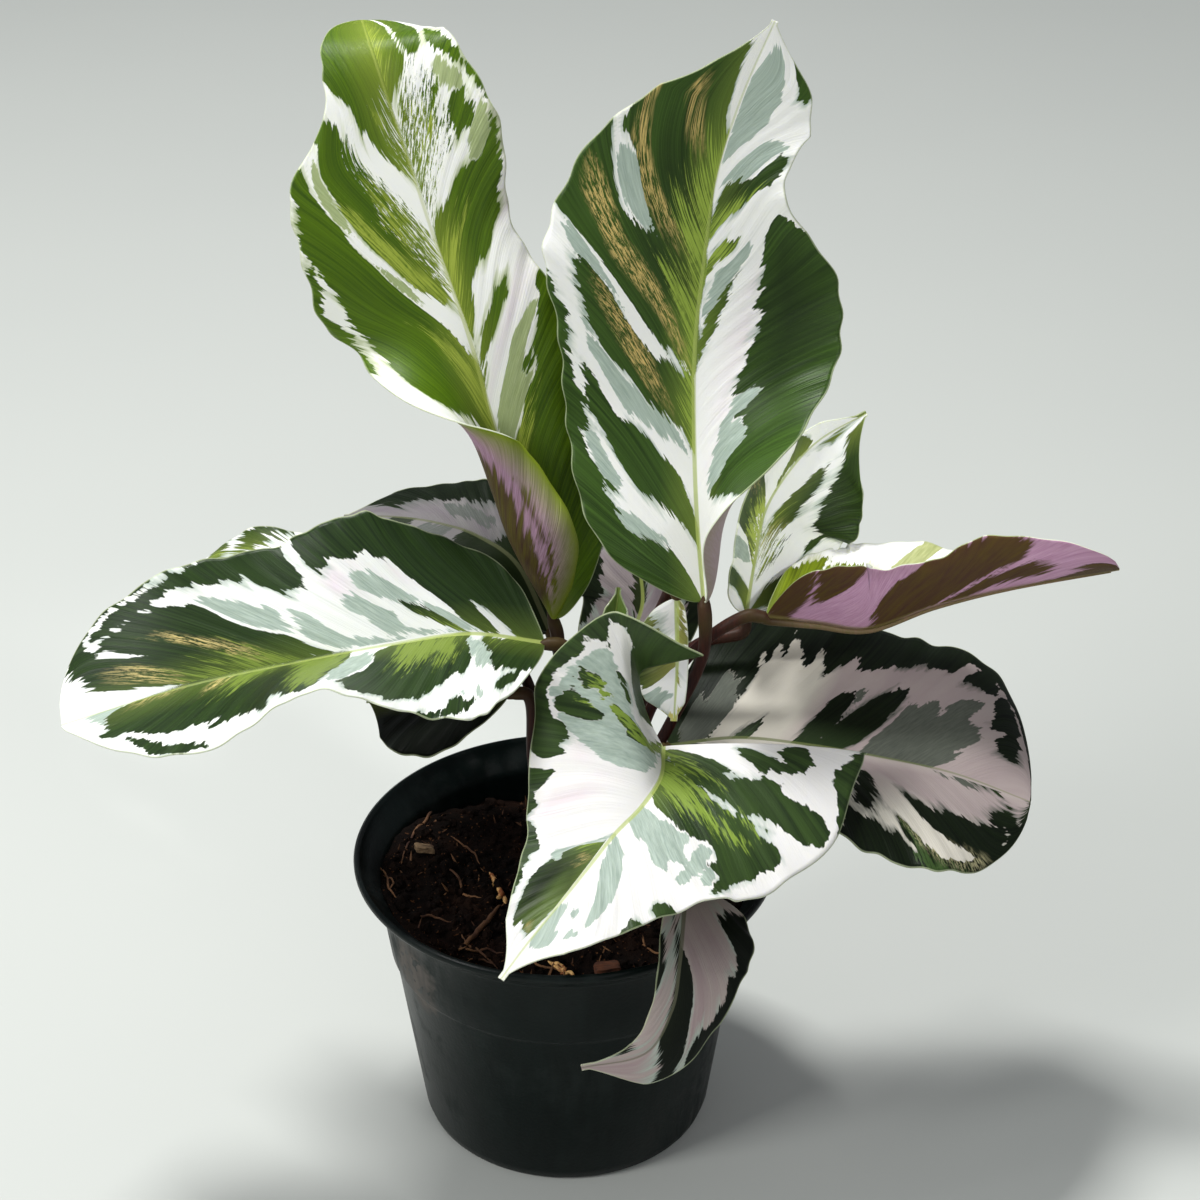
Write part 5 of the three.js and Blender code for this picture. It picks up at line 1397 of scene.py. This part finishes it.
            ("green", (27, 820), (56, 880), (110, 920), (110, 500), (69, 440), (56, 490), (56, 560),
             (51, 650), (49, 750)),
            ("grey", (20, 580), (33, 620), (44, 640), (46, 500), (42, 400), (24, 380)),
            ("green", (-4, 340), (33, 300), (110, 400), (110, -50), (-4, -50)),
            ("pink", (-4, 1000), (56, 1000), (51, 400), (-4, 300)),
        ],
    },
    "far_left": {
        "lean": (0.25, 0.3),
        "left": [
            ("green", (-10, 900), (40, 950), (110, 900), (110, 550), (80, 600), (50, 700), (-10, 660)),
            ("green", (-10, 500), (30, 560), (70, 500), (110, 420), (110, -50), (-10, -50)),
            ("grey", (10, 600), (40, 660), (70, 560), (50, 540), (20, 560)),
        ],
        "right": [
            ("green", (-10, 860), (30, 875), (110, 870), (110, 800), (60, 785), (20, 800), (-10, 800)),
            ("green", (0, 780), (30, 765), (110, 700), (110, 550), (90, 540), (10, 660)),
            ("green", (-10, -50), (110, -50), (110, 420), (50, 450), (-10, 550)),
            ("lime", (-10, 500), (10, 520), (12, 800), (60, 840), (10, 860), (-10, 900)),
        ],
    },
    # Painted shade: the pink ground over both halves is white in shade
    "back_centre": {
        "lean": (0.3, 0.3),
        "left": [
            ("green", (50, 700), (110, 700), (110, 200), (85, 240), (60, 500), (62, 600)),
            ("green", (-10, 580), (10, 570), (18, 420), (10, 340), (-10, 340)),
            ("green", (-10, 200), (110, 100), (110, -50), (-10, -50)),
            ("green", (10, 900), (50, 820), (110, 800), (110, 1050), (-10, 1050)),
            ("pink", (-10, 100), (80, 100), (80, 900), (-10, 900)),
        ],
        "right": [
            ("green", (-10, 580), (8, 560), (6, 420), (-10, 340)),
            ("green", (55, 800), (110, 850), (110, 300), (80, 360), (65, 500), (72, 620)),
            ("green", (-10, 200), (40, 200), (110, 160), (110, -50), (-10, -50)),
            ("pink", (-10, 100), (80, 100), (80, 900), (-10, 900)),
        ],
    },
    "inner": {
        "lean": (0.1, 0.2),
        "left": [
            ("green", (-10, 720), (20, 700), (15, 600), (-10, 560)),
            ("green", (-10, 930), (110, 880), (110, 1050), (-10, 1050)),
            ("green", (-10, 380), (110, 300), (110, -50), (-10, -50)),
            ("lime", (-10, 800), (110, 780), (110, 1050), (-10, 1050)),
        ],
        "right": [
            ("green", (-10, 500), (60, 710), (110, 740), (110, 100), (60, 180), (30, 300), (-10, 420)),
            ("green", (-10, 930), (110, 880), (110, 1050), (-10, 1050)),
            ("grey", (10, 780), (110, 900), (110, 800), (50, 740)),
            ("lime", (-10, 800), (110, 780), (110, 1050), (-10, 1050)),
            ("gold", (-10, 880), (110, 860), (110, 1050), (-10, 1050)),
        ],
    },
}
all_green = [("green", (-10, -50), (110, -50), (110, 1050), (-10, 1050))]
plain_marking = {"lean": (0.3, 0.3), "left": all_green, "right": all_green}
marking_kinds = ("green", "grey", "lime", "gold", "pink", "dark", "fleck")
deepest = 9
band_softness = 0.7
no_band = -20


def depth_in_ring(ring, u, v):
    """How deep each point (u, v) lies inside a closed ring of corners; below zero outside."""
    nearest = np.full(u.shape, 1e9)
    inside = np.zeros(u.shape, dtype=bool)
    for (u0, v0), (u1, v1) in zip(ring, ring[1:] + ring[:1]):
        du, dv = u1 - u0, v1 - v0
        share = np.clip(((u - u0) * du + (v - v0) * dv) / (du * du + dv * dv + 1e-9), 0, 1)
        nearest = np.minimum(nearest, np.hypot(u - u0 - share * du, v - v0 - share * dv))
        crosses = (v0 > v) != (v1 > v)
        height = np.where(crosses, (v - v0) / (dv if dv else 1e-9) * du + u0, 0)
        inside ^= crosses & (u < height)
    return np.where(inside, nearest, -nearest)


def marking_fields(patches, lean, half_width, length, vein, d, band_depth):
    """The depth of each point in each colour, in millimetres across the side veins."""
    u = d * half_width / vein_stretch
    fields = {kind: np.full(u.shape, float(-deepest)) for kind in marking_kinds}
    for kind, *corners in patches:
        ring = [(cd / 100 * half_width / vein_stretch, (cs / 1000 - lean * arch(cd / 100)) * length)
                for cd, cs in corners]
        depth = depth_in_ring(ring, u, vein)
        if kind != "white":
            fields[kind] = np.maximum(fields[kind], depth)
        # Green, grey and white are grounds: each of them covers the others that lie under it
        if kind in ("green", "grey", "white"):
            for other in {"green", "grey"} - {kind}:
                fields[other] = np.minimum(fields[other], -depth)
    fields["green"] = np.maximum(fields["green"], band_depth)
    return {kind: np.clip(value, -deepest, deepest) for kind, value in fields.items()}


# Blades: finish
# Satin living leaf. The upper face is white, grey-green and deep green with lime along the
# midrib and gold streaks; the underside shows the same marbling in pink, purple and brown.


skin_depths = (1.0, 1.0, 0.7)
skin_scale = 0.0009


def vein_noise(tree, place, along, over, detail=3, roughness=0.6):
    """Noise that follows the side veins, with its scales per millimetre along and over them."""
    return cloudy(tree, scaled(tree, place, (along, over, 1)), 1.0, detail, roughness)


def start_face(name, roughness, kinds):
    """A new material for one face of a blade, with the values it reads and three noises."""
    material, tree, shader, _ = new_material(name, roughness)
    marks = {kind: add_node(tree, "ShaderNodeAttribute", attribute_name=kind).outputs["Fac"]
             for kind in (*kinds, "from_rib", "from_rim")}
    place = add_node(tree, "ShaderNodeAttribute", attribute_name="vein_place").outputs["Vector"]
    ragged = vein_noise(tree, place, 0.15, 0.5)
    fine = vein_noise(tree, place, 0.3, 1.7, 2)
    ridges = vein_noise(tree, place, 0.012, 1.5, 2, 0.5)
    marks["from_base"] = add_node(tree, "ShaderNodeSeparateXYZ", {0: place}).outputs["Y"]
    return material, tree, shader, marks, place, ragged, fine, ridges


def set_skin(shader, tones):
    settings = {"Specular IOR Level": tones["shine"], "Subsurface Weight": tones["glow"],
                "Subsurface Radius": skin_depths, "Subsurface Scale": skin_scale}
    for socket, value in settings.items():
        shader.inputs[socket].default_value = value


def upper_material(name, tones):
    made = start_face("blade_" + name, 0.4, marking_kinds)
    material, tree, shader, marks, place, ragged, fine, ridges = made
    patchy = vein_noise(tree, place, 0.05, 0.13, 3, 0.5)
    wander = ramp(tree, ragged, 0.25, 0.75, -tones["ragged"], tones["ragged"])
    shift = maths(tree, "ADD", wander, ramp(tree, fine, 0.22, 0.78, -0.22, 0.22))
    # Where white and green are mixed fine, both break up into specks along the side veins
    specks = ramp(tree, vein_noise(tree, place, 0.55, 1.0, 4, 0.72), 0.3, 0.7, -4.2, 4.2)
    held = ramp(tree, marks["green"], -2.4, 2.4, -2.0, 2.0)
    speckled = ramp(tree, marks["fleck"], -1.0, 1.5)
    step = maths(tree, "SUBTRACT", maths(tree, "ADD", held, specks), marks["green"])
    green_depth = maths(tree, "MULTIPLY_ADD", step, speckled, marks["green"])
    green_depth = maths(tree, "ADD", green_depth, shift)
    green_share = ramp(tree, green_depth, -0.07, 0.07)
    grey_depth = maths(tree, "MULTIPLY_ADD", shift, -0.9, marks["grey"])
    grey_share = ramp(tree, grey_depth, -0.1, 0.1)
    # Pale ground: white, tinged with pink, and grey-green where a thin green layer lies under it
    blush = ramp(tree, patchy, 0.3, 0.62, tones["least_pink"], 1)
    pinkness = maths(tree, "MULTIPLY", ramp(tree, marks["pink"], -2, 2), blush)
    pale = mix_colours(tree, pinkness, tones["white"], tones["pink"])
    greys = mix_colours(tree, ramp(tree, fine, 0.25, 0.75), tones["grey"], tones["silver"])
    fringe = ramp(tree, green_depth, -1.0, -0.1)
    fringe = maths(tree, "MULTIPLY", fringe, ramp(tree, patchy, 0.46, 0.56, 0, 0.8))
    pale = mix_colours(tree, maths(tree, "MAXIMUM", grey_share, fringe), pale, greys)
    # Deep green, streaked along the side veins, lighter at random and darker in the dark patches, which
    # are painted shade
    streak = vein_noise(tree, place, 0.02, 1.1)
    deep = mix_colours(tree, ramp(tree, streak, 0.34, 0.66), tones["green"], tones["leaf"])
    deep = mix_colours(tree, ramp(tree, patchy, 0.42, 0.68, 0, 0.6), deep, tones["leaf"])
    deep = mix_colours(tree, ramp(tree, marks["from_rib"], 0, 9, 0.35, 0), deep, tones["lime"])
    hairlines = ramp(tree, vein_noise(tree, place, 0.03, 4.2, 1, 0.5), 0.6, 0.7, 0, 0.35)
    deep = mix_colours(tree, hairlines, deep, tones["dark"])
    # Painted shade: the dark patches darken the deep green where shade falls on it
    deep = mix_colours(tree, ramp(tree, marks["dark"], -3, 3, 0, 0.85), deep, tones["dark"])
    # Lime streaks, which also break up the specks, and gold glints, which on the upper right leaf paint
    # golden reflections of the sun
    broken = ramp(tree, vein_noise(tree, place, 0.16, 1.5, 3, 0.7), 0.3, 0.7, -2.6, 2.4)
    lime_depth = maths(tree, "ADD", marks["lime"], maths(tree, "ADD", shift, broken))
    lime_speck = maths(tree, "ADD", broken, ramp(tree, speckled, 0, 1, -9, 0))
    lime_depth = maths(tree, "MAXIMUM", lime_depth, lime_speck)
    deep = mix_colours(tree, ramp(tree, lime_depth, -0.5, 0.9, 0, 0.9), deep, tones["lime"])
    glints = ramp(tree, vein_noise(tree, place, 0.6, 1.7, 3, 0.75), 0.46, 0.58)
    gold_share = ramp(tree, maths(tree, "ADD", marks["gold"], wander), -0.8, 1.2)
    gold_share = maths(tree, "MULTIPLY", maths(tree, "MULTIPLY", glints, gold_share), 0.85)
    deep = mix_colours(tree, gold_share, deep, tones["gold"])
    # The midrib and the thin pale line round the margin
    colour = mix_colours(tree, green_share, pale, deep)
    rib = ramp(tree, marks["from_rib"], -0.15, 0.1, 1, 0)
    rib = maths(tree, "MULTIPLY", rib, ramp(tree, marks["from_base"], 10, 110, 0.85, 0.4))
    colour = mix_colours(tree, rib, colour, tones["rib"])
    rim = ramp(tree, marks["from_rim"], 0.12, 0.4, 0.6, 0)
    colour = mix_colours(tree, rim, colour, tones["rim"])
    cells = vein_noise(tree, place, 2.2, 3.5, 2)
    relief = maths(tree, "MULTIPLY_ADD", cells, 0.25, ridges)
    dress(tree, shader, colour, relief, 0.28, 0.0005)
    gloss = ramp(tree, green_share, 0, 1, 0.5, 0.4)
    tree.links.new(gloss, shader.inputs["Roughness"])
    set_skin(shader, tones)
    return material


def under_material(name, tones):
    made = start_face("underside_" + name, 0.55, ["green"])
    material, tree, shader, marks, _, ragged, fine, ridges = made
    wander = ramp(tree, ragged, 0.25, 0.75, -0.9, 0.9)
    shift = maths(tree, "ADD", wander, ramp(tree, fine, 0.22, 0.78, -0.3, 0.3))
    green_share = ramp(tree, maths(tree, "ADD", marks["green"], shift), -0.3, 0.3)
    pinks = mix_colours(tree, ramp(tree, fine, 0.3, 0.7), tones["under_pink"], tones["under_lilac"])
    browns = mix_colours(tree, ramp(tree, ragged, 0.3, 0.7), tones["under_brown"], tones["under_olive"])
    colour = mix_colours(tree, green_share, pinks, browns)
    rim = ramp(tree, marks["from_rim"], 0.5, tones["under_rim_width"], tones["under_rim_share"], 0)
    rim = maths(tree, "MULTIPLY", rim, ramp(tree, marks["from_base"], 45, 80, 1, 0.2))
    colour = mix_colours(tree, rim, colour, tones["under_rim"])
    rib = ramp(tree, marks["from_rib"], 0.2, 1.2, 0.7, 0)
    colour = mix_colours(tree, rib, colour, tones["under_rib"])
    dress(tree, shader, colour, ridges, 0.35, 0.0006)
    set_skin(shader, tones)
    return material


usual_tones = {
    "white": shade(240, 240, 234), "pink": shade(222, 206, 216), "grey": shade(146, 162, 150),
    "silver": shade(182, 196, 184), "green": shade(30, 46, 16), "leaf": shade(52, 74, 26),
    "dark": shade(16, 26, 10), "lime": shade(150, 168, 74), "gold": shade(206, 184, 122),
    "rib": shade(176, 190, 104), "rim": shade(186, 196, 158), "under_pink": shade(176, 138, 164),
    "under_lilac": shade(196, 164, 188), "under_brown": shade(66, 42, 40),
    "under_olive": shade(84, 70, 40), "under_rim": shade(120, 128, 50), "under_rim_share": 0.25,
    "under_rim_width": 5.0,
    "under_rib": shade(132, 120, 70), "ragged": 0.75, "glow": 0.3, "shine": 0.2, "least_pink": 0.0,
}
leaf_tones = {
    # Partly painted light: this leaf's bright yellow greens and yellowish white stand for the sun
    # shining through it from behind
    "upper_left": {
        "white": shade(244, 245, 236), "pink": shade(222, 208, 218), "grey": shade(150, 164, 112),
        "silver": shade(178, 190, 142), "green": shade(54, 82, 4), "leaf": shade(86, 116, 10),
        "dark": shade(40, 58, 4), "lime": shade(164, 178, 70), "rib": shade(176, 186, 92),
        "under_pink": shade(140, 108, 124), "under_lilac": shade(178, 146, 168), "glow": 0.5,
        "under_brown": shade(64, 42, 36), "under_olive": shade(88, 80, 30),
        "under_rim": shade(132, 150, 30), "under_rim_share": 1.0, "under_rim_width": 9.5,
        "ragged": 0.6,
    },
    "upper_right": {
        "green": shade(32, 54, 10), "leaf": shade(60, 88, 28), "dark": shade(22, 38, 8),
        "lime": shade(152, 174, 70), "gold": shade(216, 188, 118), "glow": 0.35,
        "under_pink": shade(158, 140, 140), "under_lilac": shade(168, 150, 156),
        "under_brown": shade(78, 64, 54), "under_olive": shade(98, 88, 66),
    },
    "left": {
        "white": shade(232, 234, 228), "green": shade(24, 40, 16), "leaf": shade(44, 66, 26),
        "lime": shade(122, 142, 58), "gold": shade(216, 196, 130),
    },
    "front": {
        "white": shade(230, 228, 224), "pink": shade(222, 208, 212), "green": shade(30, 46, 20),
        "leaf": shade(56, 78, 34), "lime": shade(134, 158, 62), "under_pink": shade(92, 90, 40),
        "under_lilac": shade(70, 72, 30), "under_brown": shade(40, 40, 16),
        "under_olive": shade(82, 84, 34),
    },
    # Painted shade: darker copies of the usual tones for a leaf in the shade of the others; its white is
    # the sunlit part and its pink the shaded part
    "right": {
        "white": shade(208, 203, 190), "pink": shade(166, 152, 150), "grey": shade(78, 82, 74),
        "silver": shade(98, 102, 92), "green": shade(10, 15, 9), "leaf": shade(22, 31, 16),
        "dark": shade(7, 10, 7), "rib": shade(112, 122, 74), "lime": shade(60, 82, 42),
        "gold": shade(170, 164, 126), "shine": 0.08, "glow": 0.12, "least_pink": 0.85,
    },
    # Painted shade: greyed whites and near-black greens for a leaf that hangs in the shade of the others
    "drooping": {
        "white": shade(176, 164, 158), "pink": shade(160, 142, 142), "green": shade(12, 18, 12),
        "leaf": shade(24, 29, 20), "dark": shade(8, 13, 8), "rib": shade(104, 104, 84),
        "lime": shade(40, 46, 28), "shine": 0.1, "glow": 0.12, "ragged": 0.35,
    },
    # Painted shade: greyed whites and near-black greens for a leaf in the shade of the others
    "back_left": {
        "white": shade(124, 122, 120), "pink": shade(112, 106, 110), "grey": shade(84, 88, 84),
        "silver": shade(100, 103, 98), "green": shade(10, 17, 8), "leaf": shade(20, 29, 14),
        "lime": shade(44, 58, 26), "rib": shade(96, 100, 70), "shine": 0.08, "glow": 0.1,
    },
    # Painted shade: greyed pinkish whites and dark greens for a leaf in the shade of the others
    "back_centre": {
        "white": shade(176, 166, 166), "pink": shade(150, 138, 144), "green": shade(16, 26, 12),
        "leaf": shade(30, 42, 20), "lime": shade(70, 84, 40), "ragged": 0.5,
    },
    # Painted light: this leaf's white, lime and gold are brighter than usual to lift it out of the shade
    # of the taller leaves
    "back_right": {
        "white": shade(250, 252, 244), "green": shade(30, 48, 14), "leaf": shade(58, 84, 26),
        "lime": shade(176, 192, 84), "gold": shade(226, 196, 140), "glow": 0.4, "ragged": 0.4,
    },
    "right_back": {
        "grey": shade(150, 158, 96), "silver": shade(190, 194, 140), "green": shade(74, 84, 8),
        "leaf": shade(128, 146, 22), "under_pink": shade(176, 132, 162),
        "under_lilac": shade(200, 162, 188), "under_brown": shade(72, 46, 34),
        "under_olive": shade(84, 66, 24), "under_rim": shade(96, 62, 36), "glow": 0.35,
    },
    # Painted shade: near-black greens for a leaf lying in the shade of the others
    "lower_left": {"green": shade(8, 13, 6), "leaf": shade(15, 22, 10), "shine": 0.08, "glow": 0.1},
    "inner": {"green": shade(52, 66, 30), "leaf": shade(92, 108, 52), "lime": shade(214, 206, 110)},
    "young": {"green": shade(40, 70, 26), "leaf": shade(74, 112, 50)},
}

# (rows from base to tip, columns in each half); the big leaves have finer grids
big_leaves = ("upper_left", "upper_right", "left", "right", "front")
big_grid = (170, 32)
small_grid = (110, 20)
rib_half_width = 0.8
rib_taper = 0.55
# How far apart the leaves, and a leaf's halves, read the noises, so that none looks like another
leaf_step = 7.3
half_step = 31


def half_layers(leaf, number, key, s, columns):
    """One half's points, and the values that its materials read, as arrays of the same shape."""
    right = key == "right"
    side = 1 if right else -1
    marking = markings.get(leaf["name"], plain_marking)
    lean = marking["lean"][right]
    half = dict(leaf[key], lean=lean)
    grid, width, vein, d = half_blade(leaf, half, side, s, columns)
    out = d * width[:, None]
    from_rib = out - (rib_half_width - rib_taper * s)[:, None]
    from_rim = (1 - d) * width[:, None]
    band_depth = (marking.get("band", no_band) - from_rim) * band_softness
    half_width = float(np.max(half["width"]))
    fields = marking_fields(marking[key], lean, half_width, leaf["length"], vein, d, band_depth)
    layer = np.full(d.shape, leaf_step * number + half_step * right)
    place = np.stack([out * side, vein, layer], -1)
    return dict(fields, from_rib=from_rib, from_rim=from_rim, grid=grid, vein_place=place)


def sheet_faces(rows, columns):
    """Faces of a two-sided sheet on a grid of points: upper side, underside and the rim between."""
    count = rows * columns
    at = np.arange(count).reshape(rows, columns)
    corners = [at[:-1, :-1], at[:-1, 1:], at[1:, 1:], at[1:, :-1]]
    above = np.stack([corner.ravel() for corner in corners], 1)
    border = [*at[0, :], *at[1:, -1], *at[-1, -2::-1], *at[-2:0:-1, 0]]
    border = [int(corner) for corner in border]
    rim = [[first, first + count, second + count, second]
           for first, second in zip(border, border[1:] + border[:1])]
    faces = above.tolist() + (above[:, ::-1] + count).tolist() + rim
    return faces, [0] * len(above) + [1] * len(above) + [0] * len(rim)


def blade_piece(leaf, number):
    """One leaf's blade: both halves as one sheet with an upper side and an underside."""
    rows, columns = big_grid if leaf["name"] in big_leaves else small_grid
    u = np.linspace(0, 1, rows + 1)
    s = 0.5 * u + 0.25 * (1 - np.cos(np.pi * u))
    midrib = spline(leaf["midrib"], np.linspace(0, 1, 60))
    leaf["length"] = float(np.sum(np.linalg.norm(np.diff(midrib, axis=0), axis=1)))
    left = half_layers(leaf, number, "left", s, columns)
    right = half_layers(leaf, number, "right", s, columns)
    layers = {key: np.concatenate([left[key][:, ::-1], right[key][:, 1:]], axis=1) for key in left}
    grid = layers.pop("grid")
    place = layers.pop("vein_place")
    normal = np.cross(np.gradient(grid, axis=1), np.gradient(grid, axis=0))
    normal /= np.linalg.norm(normal, axis=2)[:, :, None]
    upper = grid + normal * blade_thickness / 2
    lower = grid - normal * blade_thickness / 2
    points = np.concatenate([upper.reshape(-1, 3), lower.reshape(-1, 3)])
    faces, sides = sheet_faces(*grid.shape[:2])
    tones = dict(usual_tones, **leaf_tones.get(leaf["name"], {}))
    materials = [upper_material(leaf["name"], tones), under_material(leaf["name"], tones)]
    blade = mesh_piece("blade_" + leaf["name"], points, faces, materials)
    mesh = blade.data
    mesh.polygons.foreach_set("material_index", sides)
    for kind, values in layers.items():
        layer = mesh.attributes.new(kind, "FLOAT", "POINT")
        layer.data.foreach_set("value", np.tile(values.ravel(), 2))
    layer = mesh.attributes.new("vein_place", "FLOAT_VECTOR", "POINT")
    layer.data.foreach_set("vector", np.tile(place.reshape(-1, 3), (2, 1)).ravel())
    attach(blade, "root")
    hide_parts("leaf_" + leaf["name"])


for number, leaf in enumerate(leaves):
    blade_piece(leaf, number)
